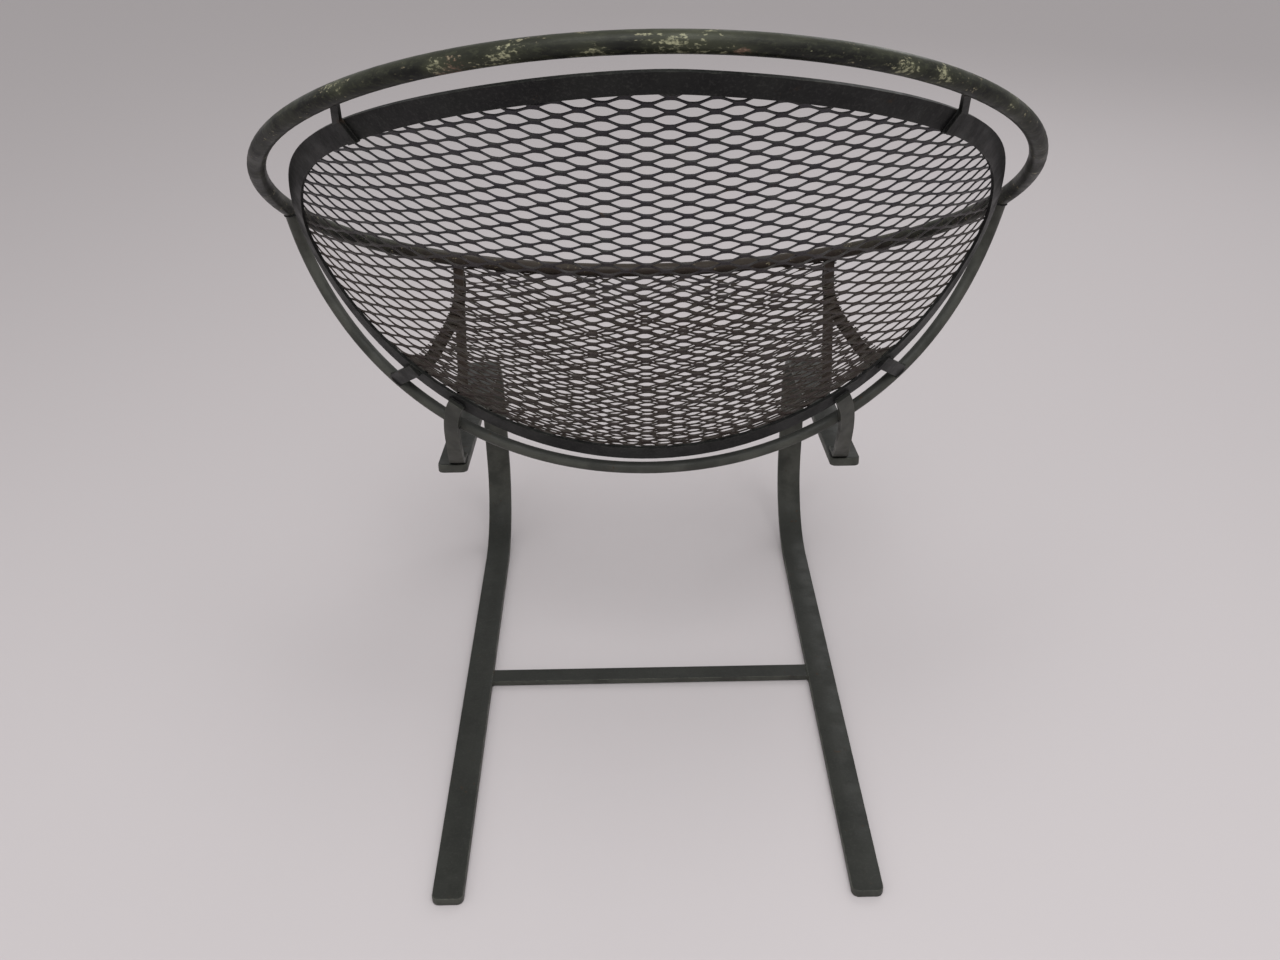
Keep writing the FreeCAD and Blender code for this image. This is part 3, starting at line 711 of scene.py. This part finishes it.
# %% The rim's line
RIM_HALF_WIDTH = 327.0
RIM_RISE = 320.0
RIM_FALL = 147.0
RIM_SQUARENESS = 1.83
RIM_THICK = 3.0
RIM_STEP = 8


def rim_line(grow):
    """The rim's middle line on the unrolled back, grown outwards, counter-clockwise in mm."""
    line = []
    for angle in range(RIM_STEP, 361, RIM_STEP):
        turn = math.radians(angle)
        upper = math.cos(turn) > 0
        power = 2 / RIM_SQUARENESS if upper else 1
        reach = RIM_RISE if upper else RIM_FALL
        x = RIM_HALF_WIDTH * math.copysign(abs(math.sin(turn)) ** power, math.sin(turn))
        rise = math.copysign(abs(math.cos(turn)) ** power, math.cos(turn)) * reach
        line.append(Vector((BACK_RADIUS * math.asin(x / BACK_RADIUS), RIM_RISE - rise)))
    grown = []
    for before, here, after in zip(line[-1:] + line[:-1], line, line[1:] + line[:1]):
        run = (after - before).normalized()
        grown.append((here.x + run.y * grow, here.y - run.x * grow))
    return grown


outline = rim_line(0)
widest = max(x for x, y in outline)
print("corners of the back's outline:", len(outline), "widest at", round(widest, 1), "mm")

# %% [markdown]
# ## The back's mesh
# The flat sheet was dished before it was welded in: its openings are wider at the sides and its
# rows sag there. Cloth could imitate that, but moving its points by rule comes out the same
# each time. It is cut along the middle of the rim and rolled on in front of it. Running down
# the back mirrors it, so its faces are turned to look outwards again.

# %% The back's mesh
MESH_CUT = 1.0
SHEET_HALF_WIDTH = 350.0
SIDE_STRETCH = 0.00176
FOOT_STRETCH = 0.00015
SIDE_SAG = 0.00049
PATTERN_TURN = 0.028
PATTERN_START = (4.4, -4.5)


def draw_out(sheet):
    """Stretches the flat sheet as dishing does: wider and lower towards its sides, longer below."""
    for vertex in sheet.data.vertices:
        x, y = vertex.co.x / MM + PATTERN_START[0], vertex.co.y / MM + PATTERN_START[1]
        wide = math.tan(SIDE_STRETCH * x) / SIDE_STRETCH
        fall = y * (1 + FOOT_STRETCH * y) + SIDE_SAG * wide * wide - PATTERN_TURN * wide
        vertex.co = Vector((wide * MM, fall * MM, vertex.co.z))


def add_back_mesh():
    sheet = add_sheet(bond, "back_expanded_metal", 2 * SHEET_HALF_WIDTH, RIM_RISE + RIM_FALL)
    draw_out(sheet)
    cut_along(sheet, rim_line(MESH_CUT))
    thicken(sheet)
    lift = RIM_THICK / 2 + MESH_HALF_THICK

    def surface(x, y):
        place, normal = back_place(x, y, lift)
        return place * MM, normal

    lay_on(sheet, surface)
    edit(sheet, "FACE", everything=True)
    bpy.ops.mesh.flip_normals()
    done()
    return sheet


back_sheet = add_back_mesh()
print("faces of the back's mesh, its size in mm:", size_of(back_sheet))

# %% [markdown]
# ## A smooth curve through a few places
# The seat sags in one even sweep. A Bezier curve goes through its points too, but its handles
# are set by eye. So the curve is worked out: a cubic from each known place to the next, with
# slopes that make the bend run on evenly.

# %% A smooth curve through a few places
CURVE_PLACES = 400


def end_slope(times, places):
    """Slope at the first of four places, of the cubic through them."""
    slope = np.zeros(3)
    for i in range(4):
        others = [j for j in range(4) if j != i]
        below = math.prod(times[i] - times[j] for j in others)
        above = sum(math.prod(times[0] - times[k] for k in others if k != j) for j in others)
        slope += places[i] * above / below
    return slope


def even_slopes(times, places):
    """Slopes at the places, with which the curve bends evenly."""
    gaps = np.diff(times)
    number = len(places)
    matrix = np.zeros((number, number))
    wanted = np.zeros((number, 3))
    matrix[0, 0] = matrix[-1, -1] = 1
    wanted[0] = end_slope(times[:4], places[:4])
    wanted[-1] = end_slope(times[::-1][:4], places[::-1][:4])
    for i in range(1, number - 1):
        before, after = gaps[i - 1], gaps[i]
        matrix[i, i - 1:i + 2] = after, 2 * (before + after), before
        step_in = (places[i] - places[i - 1]) / before
        step_out = (places[i + 1] - places[i]) / after
        wanted[i] = 3 * (after * step_in + before * step_out)
    return np.linalg.solve(matrix, wanted)


def lengths_along(places):
    """How far along a line each of its places is."""
    steps = np.linalg.norm(np.diff(places, axis=0), axis=1)
    return np.concatenate([[0], np.cumsum(steps)])


def smooth_curve(places):
    """Evenly spaced places on the smooth curve through a few, and its length."""
    places = np.array([list(place) for place in places])
    times = lengths_along(places)
    slopes = even_slopes(times, places)
    dense = np.linspace(0, times[-1], CURVE_PLACES * 4)
    spans = np.clip(np.searchsorted(times, dense, side="right") - 1, 0, len(places) - 2)
    gap = (times[spans + 1] - times[spans])[:, None]
    share = (dense - times[spans])[:, None] / gap
    rest = 1 - share
    curve = (places[spans] * (1 + 2 * share) * rest ** 2
             + slopes[spans] * gap * share * rest ** 2
             + places[spans + 1] * share ** 2 * (3 - 2 * share)
             - slopes[spans + 1] * gap * share ** 2 * rest)
    run = lengths_along(curve)
    even = np.linspace(0, run[-1], CURVE_PLACES)
    return np.array([np.interp(even, run, curve[:, axis]) for axis in range(3)]).T, run[-1]


# %% [markdown]
# ## The seat's surface
# The seat hangs between the front of the hoop, the two side straps and the foot of the back.
# Sculpted by eye, it wouldn't meet them. Two curves give its shape, one down its middle and one
# along its side, and across the seat the height goes from one to the other.

# %% The seat's surface
HOOP_RADIUS = 351.3
HOOP_CENTRE = Vector((0, 58.8, 643.2))
HOOP_SLOPE = math.radians(33.2)
SEAT_FRONT_HALF = 226.0
SEAT_REAR_HALF = 245.0
SEAT_MIDDLE = [(-212.0, 404.0), (-165.0, 385.0), (-60.0, 375.0), (60.0, 385.0)]
SEAT_SIDE = [(-165.0, 446.0), (-140.0, 436.0), (-75.0, 441.0), (20.0, 457.0)]
FOOT_LIFT = 1.9


def hoop_place(angle):
    """A place on the hoop's middle line, in mm: 0 is the rear, 180 the front."""
    turn = math.radians(angle)
    along = HOOP_RADIUS * math.cos(turn)
    across = HOOP_RADIUS * math.sin(turn)
    y, z = along * math.cos(HOOP_SLOPE), along * math.sin(HOOP_SLOPE)
    return HOOP_CENTRE + Vector((across, y, z))


def rim_foot(x):
    """Where the seat ends on the rim's lower half, in mm, at x to the side."""
    fall = RIM_RISE + RIM_FALL * math.sqrt(1 - (x / RIM_HALF_WIDTH) ** 2)
    rolled = BACK_RADIUS * math.asin(x / BACK_RADIUS)
    return back_place(rolled, fall, RIM_THICK / 2 + FOOT_LIFT)[0]


def seat_curves():
    """The seat's middle and side, from the front to the rear."""
    middle_line = [hoop_place(180)] + [Vector((0, y, z)) for y, z in SEAT_MIDDLE] + [rim_foot(0)]
    grow = (SEAT_REAR_HALF - SEAT_FRONT_HALF) / (len(SEAT_SIDE) + 1)
    front_angle = 180 - math.degrees(math.asin(SEAT_FRONT_HALF / HOOP_RADIUS))
    side_line = [hoop_place(front_angle)]
    for step, (y, z) in enumerate(SEAT_SIDE):
        side_line.append(Vector((SEAT_FRONT_HALF + grow * step, y, z)))
    side_line.append(rim_foot(SEAT_REAR_HALF))
    return smooth_curve(middle_line), smooth_curve(side_line)


(seat_middle, seat_length), (seat_side, side_length) = seat_curves()
print("seat, front to rear in mm:", round(seat_length, 1), "along its side:", round(side_length, 1))

# %% [markdown]
# ## The seat's mesh
# It is cut from the same sheet. Its front goes into the hoop, its rear to the foot of the back,
# and its sides lie on the straps. A Shrinkwrap modifier would pull the openings askew at the
# edges. Laid on by place, it is stretched a little only where the seat is widest.

# %% The seat's mesh
FRONT_MARGIN = 6.5
REAR_MARGIN = 1.5
NUDGE = 0.01


def seat_place(along, across):
    """A place of the seat in mm: along is 0 at the front and 1 at the rear, across is -1 to 1."""
    step = min(max(along, 0.0), 1.0) * (len(seat_middle) - 1)
    low = min(int(step), len(seat_middle) - 2)
    share = step - low
    centre = seat_middle[low] * (1 - share) + seat_middle[low + 1] * share
    edge = seat_side[low] * (1 - share) + seat_side[low + 1] * share
    y, z = (centre + (edge - centre) * (across * across))[1:]
    return Vector((edge[0] * across, y, z))


def seat_surface(x, y):
    """Where a point of the flat seat goes, and the upward normal there, in metres."""
    along = y / seat_length
    across = x / seat_place(along, 1).x
    place = seat_place(along, across)
    sideways = seat_place(along, across + NUDGE) - seat_place(along, across - NUDGE)
    lengthwise = seat_place(along + NUDGE, across) - seat_place(along - NUDGE, across)
    normal = sideways.cross(lengthwise).normalized()
    return place * MM + normal * (MESH_HALF_THICK * MM), normal


def add_seat_mesh():
    sheet = add_sheet(bond, "seat_expanded_metal", 2 * SEAT_REAR_HALF, seat_length)
    front = seat_place(FRONT_MARGIN / seat_length, 1).x
    rear = seat_length - REAR_MARGIN
    cut_along(sheet, [(-front, FRONT_MARGIN), (front, FRONT_MARGIN),
                      (SEAT_REAR_HALF, rear), (-SEAT_REAR_HALF, rear)])
    thicken(sheet)
    lay_on(sheet, seat_surface)
    return sheet


seat_sheet = add_seat_mesh()
print("faces of the seat's mesh, its size in mm:", size_of(seat_sheet))
only(bond)
bpy.ops.object.delete()

# %% [markdown]
# ## Put the mesh on the chair
# Both sheets are welded to the bucket, so each rides on the seat, and the node it stands for is
# hidden. Flat shading would show every step of a strand, so a sheet is shaded smooth, except over
# its real edges.

# %% Put the mesh on the chair


def dress(piece, paint, angle):
    """Paints a piece, and shades it smooth except where it turns by more than the angle."""
    only(piece)
    bpy.ops.object.shade_smooth_by_angle(angle=math.radians(angle))
    piece.data.materials.clear()
    piece.data.materials.append(paint)


for sheet, node, slot, paint in ((back_sheet, "back_mesh", "painted_iron", mesh_paint),
                                 (seat_sheet, "seat_mesh", "rusty_painted_mesh", seat_paint)):
    dress(sheet, paint, 50)
    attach(sheet, "seat")
    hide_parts(node)
    print(sheet.name, "stands for", node)

# %% [markdown]
# ## Flat springs
# Each spring is one flat bar, bent twice in a wide round: it runs along the floor, up the front
# and back under the seat. A curve with a profile could give it, but here it is bent as in the
# workshop: its end is extruded for each straight and spun for each bend.

# %% One flat spring
BAR_WIDTH = 32.0
BAR_THICK = 9.5
BAR_X = 212.5
BAR_FRONT = -369.0
RUNNER_REAR = 345.0
FOOT_BEND = 105.0
TOP_BEND = 80.0
TOP_BEND_HEIGHT = 214.0
ARM_RISE = math.radians(7)
ARM_LENGTH = 341.0
BEND_STEPS = 16
PARALLEL = 0.99
RUNNER_END = Vector((BAR_X, RUNNER_REAR, BAR_THICK / 2))


def leading_end(bar, centre, direction):
    """Selects the bar's end face that lies near a place and looks along a direction."""
    def test(face):
        looks_along = abs(face.normal.dot(direction)) > PARALLEL
        return looks_along and (middle(face) / MM - centre).length < NEAR
    if pick(bar, "faces", test) != 1:
        raise RuntimeError("the end of the bar wasn't found")


def bend(angle, centre):
    """Spins what is selected round a line across the chair, through a centre in mm."""
    bpy.ops.mesh.spin(steps=BEND_STEPS, angle=angle, axis=(1, 0, 0), center=centre * MM)


def add_spring_bar():
    """The bent bar, and the place where its arm ends."""
    bpy.ops.object.select_all(action="DESELECT")
    bpy.ops.mesh.primitive_plane_add(size=1, location=RUNNER_END * MM,
                                     rotation=(math.radians(90), 0, 0))
    bar = named("spring_bar_left_rounded")
    bar.scale = (BAR_WIDTH * MM, BAR_THICK * MM, 1)
    only(bar)
    bpy.ops.object.transform_apply(location=True, rotation=True, scale=True)
    edit(bar, "FACE", everything=True)
    foot_centre = Vector((BAR_X, BAR_FRONT + BAR_THICK / 2 + FOOT_BEND, BAR_THICK / 2 + FOOT_BEND))
    runner = Vector((0, foot_centre.y - RUNNER_REAR, 0))
    pull_out(runner)
    leading_end(bar, RUNNER_END + runner, Vector((0, 1, 0)))
    bend(math.radians(90), foot_centre)
    low = foot_centre - Vector((0, FOOT_BEND, 0))
    leading_end(bar, low, Vector((0, 0, 1)))
    upright = Vector((0, 0, TOP_BEND_HEIGHT - low.z))
    pull_out(upright)
    leading_end(bar, low + upright, Vector((0, 0, 1)))
    top_centre = low + upright + Vector((0, TOP_BEND, 0))
    bend(math.radians(90) - ARM_RISE, top_centre)
    arm_way = Vector((0, math.cos(ARM_RISE), math.sin(ARM_RISE)))
    arm_start = top_centre + Vector((0, -math.sin(ARM_RISE), math.cos(ARM_RISE))) * TOP_BEND
    leading_end(bar, arm_start, arm_way)
    pull_out(arm_way * ARM_LENGTH)
    bpy.ops.mesh.select_all(action="SELECT")
    bpy.ops.mesh.normals_make_consistent(inside=False)
    done()
    return bar, arm_start + arm_way * ARM_LENGTH


spring_left, arm_end = add_spring_bar()
print("faces of the bent bar, its size in mm:", size_of(spring_left))

# %% [markdown]
# ## Ends and arrises of the springs
# The corners of a spring's ends are filed round, and its arrises are soft, because rolled bar
# is never sharp. The bar could be drawn with round ends, but a bevel on four short edges does
# it in one step. A Bevel modifier softens the arrises by angle, so a bend's steps stay as they
# are.

# %% Ends and arrises of the springs
END_ROUNDING = 7.0
END_STEPS = 5
ARRIS = 1.3
ARRIS_STEPS = 2
SHARP = math.radians(40)


def round_ends(bar):
    """Rounds the corners of the bar's two ends."""
    edit(bar, "EDGE")

    def corner(edge):
        near = min((middle(edge) / MM - end).length for end in (RUNNER_END, arm_end))
        across = abs(middle(edge).x / MM - BAR_X)
        short = edge.calc_length() < (BAR_THICK + NEAR) * MM
        return short and near < BAR_WIDTH / 2 + NEAR and across > BAR_WIDTH / 2 - NEAR

    count = pick(bar, "edges", corner)
    bpy.ops.mesh.bevel(offset=END_ROUNDING * MM, segments=END_STEPS, affect="EDGES")
    done()
    return count


def soften(piece):
    """Softens the arrises of a piece."""
    bevel = piece.modifiers.new("Bevel", "BEVEL")
    bevel.width = ARRIS * MM
    bevel.segments = ARRIS_STEPS
    bevel.limit_method = "ANGLE"
    bevel.angle_limit = SHARP
    apply_all(piece)


print("corners rounded:", round_ends(spring_left))
soften(spring_left)
print("faces of the softened bar:", len(spring_left.data.polygons))

# %% [markdown]
# ## Both springs on the chair
# The second spring is a copy with its own mesh. While the chair rocks, the runner stays on the
# floor and the arm goes with the seat. Riding on one of the two, the bar would break off at the
# other, so here it rides on neither.

only(spring_left)
bpy.ops.object.duplicate()
spring_right = named("spring_bar_right_rounded")
edit(spring_right, everything=True)
bpy.ops.transform.translate(value=(-2 * BAR_X * MM, 0, 0))
done()
for bar, node in ((spring_left, "spring_bar_left"), (spring_right, "spring_bar_right")):
    dress(bar, leg_paint, 35)
    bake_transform(bar)
    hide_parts(node)
    print(bar.name, "stands for", node, size_of(bar))

# %% [markdown]
# ## Where pieces touch
# Flat pieces and rods are welded where they meet. The seams could be measured one by one, but
# the frame itself shows them: they are where the corners of one piece lie on the other.

# %% Where pieces touch
TOUCHING = 0.7
SEAMS = [("hoop_tab", "hoop_rail"), ("hoop_tab", "back_rim"), ("rim_tab", "back_rim"),
         ("rim_tab", "bowl_ring"), ("front_strut", "hoop_rail"), ("front_strut", "mounting_plate"),
         ("rear_bracket", "spring_bar"), ("rear_bracket", "back_rim"),
         ("rear_bracket", "bowl_ring"), ("seat_side_strap", "hoop_rail")]


def node_points(node):
    """World places of a node's corners, in mm."""
    turn = np.array(node.matrix_world)
    flat = np.array([vertex.co for vertex in node.data.vertices])
    return (flat @ turn[:3, :3].T + turn[:3, 3]) / MM


def touching(node, other):
    """The corners of one node that lie on another one."""
    faces = [list(face.vertices) for face in other.data.polygons]
    tree = BVHTree.FromPolygons([Vector(place) for place in node_points(other)], faces)
    return np.array([place for place in node_points(node)
                     if tree.find_nearest(Vector(place), TOUCHING)[0]])


def find_seams():
    """The touching corners of every seam on the bucket, in mm."""
    seams = []
    for side in ("_left", "_right"):
        for first, second in SEAMS:
            other = nodes.get(second) or nodes[second + side]
            seams.append(touching(nodes[first + side], other))
    ends = touching(nodes["bowl_ring"], nodes["hoop_rail"])
    seams += [ends[ends[:, 0] > 0], ends[ends[:, 0] < 0]]
    return [points for points in seams if len(points) > 2]


seat_seams = find_seams()
tie_seams = [touching(nodes["cross_bar"], nodes["spring_bar" + side])
             for side in ("_left", "_right")]
print("seams on the bucket:", len(seat_seams), "on the tie:", len(tie_seams))

# %% [markdown]
# ## A line round the corners
# A weld runs round the corners that touch. Its line is found as a string is pulled tight round
# pins: from one corner, it goes to the one that leaves all the others on its left.

# %% A line round the corners
CLOSE_SQUARED = 0.01
STRAIGHT = 1e-6
MOST_CORNERS = 60


def line_round(points):
    """The points on the outside of a flat cloud, in order round it."""
    centre = points.mean(axis=0)
    axes = np.linalg.svd(points - centre)[2]
    flat = (points - centre) @ axes[:2].T
    here = int(flat[:, 0].argmin())
    line = [here]
    while True:
        best = None
        for other in range(len(flat)):
            run = flat[other] - flat[here]
            if run @ run < CLOSE_SQUARED:
                continue
            if best is None:
                best = other
                continue
            lead = flat[best] - flat[here]
            turn = lead[0] * run[1] - lead[1] * run[0]
            if turn < -STRAIGHT or (abs(turn) <= STRAIGHT and run @ run > lead @ lead):
                best = other
        if best == line[0] or len(line) > MOST_CORNERS:
            return points[line]
        line.append(best)
        here = best


seat_lines = [line_round(points) for points in seat_seams]
tie_lines = [line_round(points) for points in tie_seams]
print("corners of the weld lines:", sum(len(line) for line in seat_lines + tie_lines))

# %% [markdown]
# ## Weld beads
# A weld is a bead of melted metal, not quite even. Relief in the paint wouldn't show at a
# piece's edge, so each line becomes a thin rippled rod: a curve with a round profile, made a
# mesh.

# %% One bead
BEAD = 1.3
BEAD_STEP = 1.6
FEWEST_STEPS = 12
RIPPLE = 0.16


def add_bead(corners):
    """A closed, slightly rippled bead through the corners."""
    loop = np.vstack([corners, corners[:1]])
    run = lengths_along(loop)
    count = max(FEWEST_STEPS, int(run[-1] / BEAD_STEP))
    steps = np.linspace(0, run[-1], count, endpoint=False)
    places = np.array([np.interp(steps, run, loop[:, axis]) for axis in range(3)]).T
    line = bpy.data.curves.new("bead", "CURVE")
    line.dimensions = "3D"
    line.bevel_depth = BEAD * MM
    line.bevel_resolution = 1
    spline = line.splines.new("POLY")
    spline.points.add(count - 1)
    for index, place in enumerate(places):
        ripple = RIPPLE * math.sin(index * 2.1) + RIPPLE / 2 * math.sin(index * 0.7)
        spline.points[index].co = (*(place * MM), 1)
        spline.points[index].radius = 1 + ripple
    spline.use_cyclic_u = True
    bead = bpy.data.objects.new("bead", line)
    bpy.context.scene.collection.objects.link(bead)
    only(bead)
    bpy.ops.object.convert(target="MESH")
    return bpy.context.object


seat_beads = [add_bead(line) for line in seat_lines]
tie_beads = [add_bead(line) for line in tie_lines]
print("beads on the bucket:", len(seat_beads), "on the tie:", len(tie_beads))

# %% [markdown]
# The beads of one body are joined into one piece. They could be joined to the pieces they hold,
# but the frame's own meshes aren't touched.

# %% Join the beads


def join_beads(name, beads, body, paint):
    only(beads[0])
    for bead in beads[1:]:
        bead.select_set(True)
    bpy.ops.object.join()
    weld = named(name)
    dress(weld, paint, 60)
    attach(weld, body)
    print(name, "with", len(weld.data.polygons), "faces")


join_beads("welds_of_the_seat", seat_beads, "seat", black_paint)
join_beads("welds_of_the_tie", tie_beads, "base", leg_paint)

# %% [markdown]
# ## Paint on the frame's own pieces
# The rest of the frame has its shape already and only gets its paint. It goes in the slots of
# the object, not of the mesh, so that the frame's mesh isn't touched.

# %% Paint on the frame's own pieces
PAINTS = {"hoop_rail": hoop_paint, "seat_mesh": seat_paint, "back_mesh": mesh_paint,
          "seat_side_strap": strap_paint_painted_lighter, "front_strut": strap_paint_painted_lighter,
          "back_rim": black_paint, "hoop_tab": black_paint, "rim_tab": black_paint}
for name, node in nodes.items():
    paint = PAINTS.get(name.removesuffix("_left").removesuffix("_right"), leg_paint)
    if not node.material_slots:
        node.data.materials.append(paint)
    for place in node.material_slots:
        place.link = "OBJECT"
        place.material = paint
print("painted nodes:", len(nodes))

# %% [markdown]
# ## Floor
# The chair stands on a plain pale floor. A curved backdrop would do too, but from above only
# the floor is seen.

# %% Floor
FLOOR_SIZE = 40
FLOOR_FINISH = {"Base Color": (0.56, 0.525, 0.535, 1), "Roughness": 0.8, "Specular IOR Level": 0.2}


def add_floor():
    bpy.ops.object.select_all(action="DESELECT")
    bpy.ops.mesh.primitive_plane_add(size=FLOOR_SIZE)
    floor = named("floor")
    material, tree, shader = new_material("pale_floor")
    for name, value in FLOOR_FINISH.items():
        shader.inputs[name].default_value = value
    floor.data.materials.append(material)
    return floor


print("stage:", add_floor().name)

# %% [markdown]
# ## Light
# Three large soft lamps and an even sky light the chair, at a level where a colour comes out
# about as it is written. A picture of a room could do it too, but it would be another file.

# %% Light
LAMPS = [("lamp_above", (-0.1, 1.3, 2.4), (0, 0.3, 0.2), 2.0, 42),
         ("lamp_left", (2.4, 1.6, 2.0), (0, 0, 0.4), 1.6, 2),
         ("lamp_front", (-1.2, -2.2, 2.2), (0, 0, 0.4), 1.6, 12)]
SKY_COLOUR = (1, 0.99, 0.985, 1)
SKY_STRENGTH = 0.60


def add_lamp(name, place, target, size, power):
    bpy.ops.object.select_all(action="DESELECT")
    bpy.ops.object.light_add(type="AREA", location=place)
    lamp = bpy.context.object
    lamp.name = name
    lamp.data.shape = "DISK"
    lamp.data.size = size
    lamp.data.energy = power
    lamp.rotation_euler = (Vector(target) - Vector(place)).to_track_quat("-Z", "Y").to_euler()


def set_sky():
    world = bpy.data.worlds.new("even_sky")
    bpy.context.scene.world = world
    world.use_nodes = True
    background = world.node_tree.nodes["Background"]
    background.inputs["Color"].default_value = SKY_COLOUR
    background.inputs["Strength"].default_value = SKY_STRENGTH


for lamp in LAMPS:
    add_lamp(*lamp)
set_sky()
bpy.context.scene.view_settings.view_transform = "Standard"
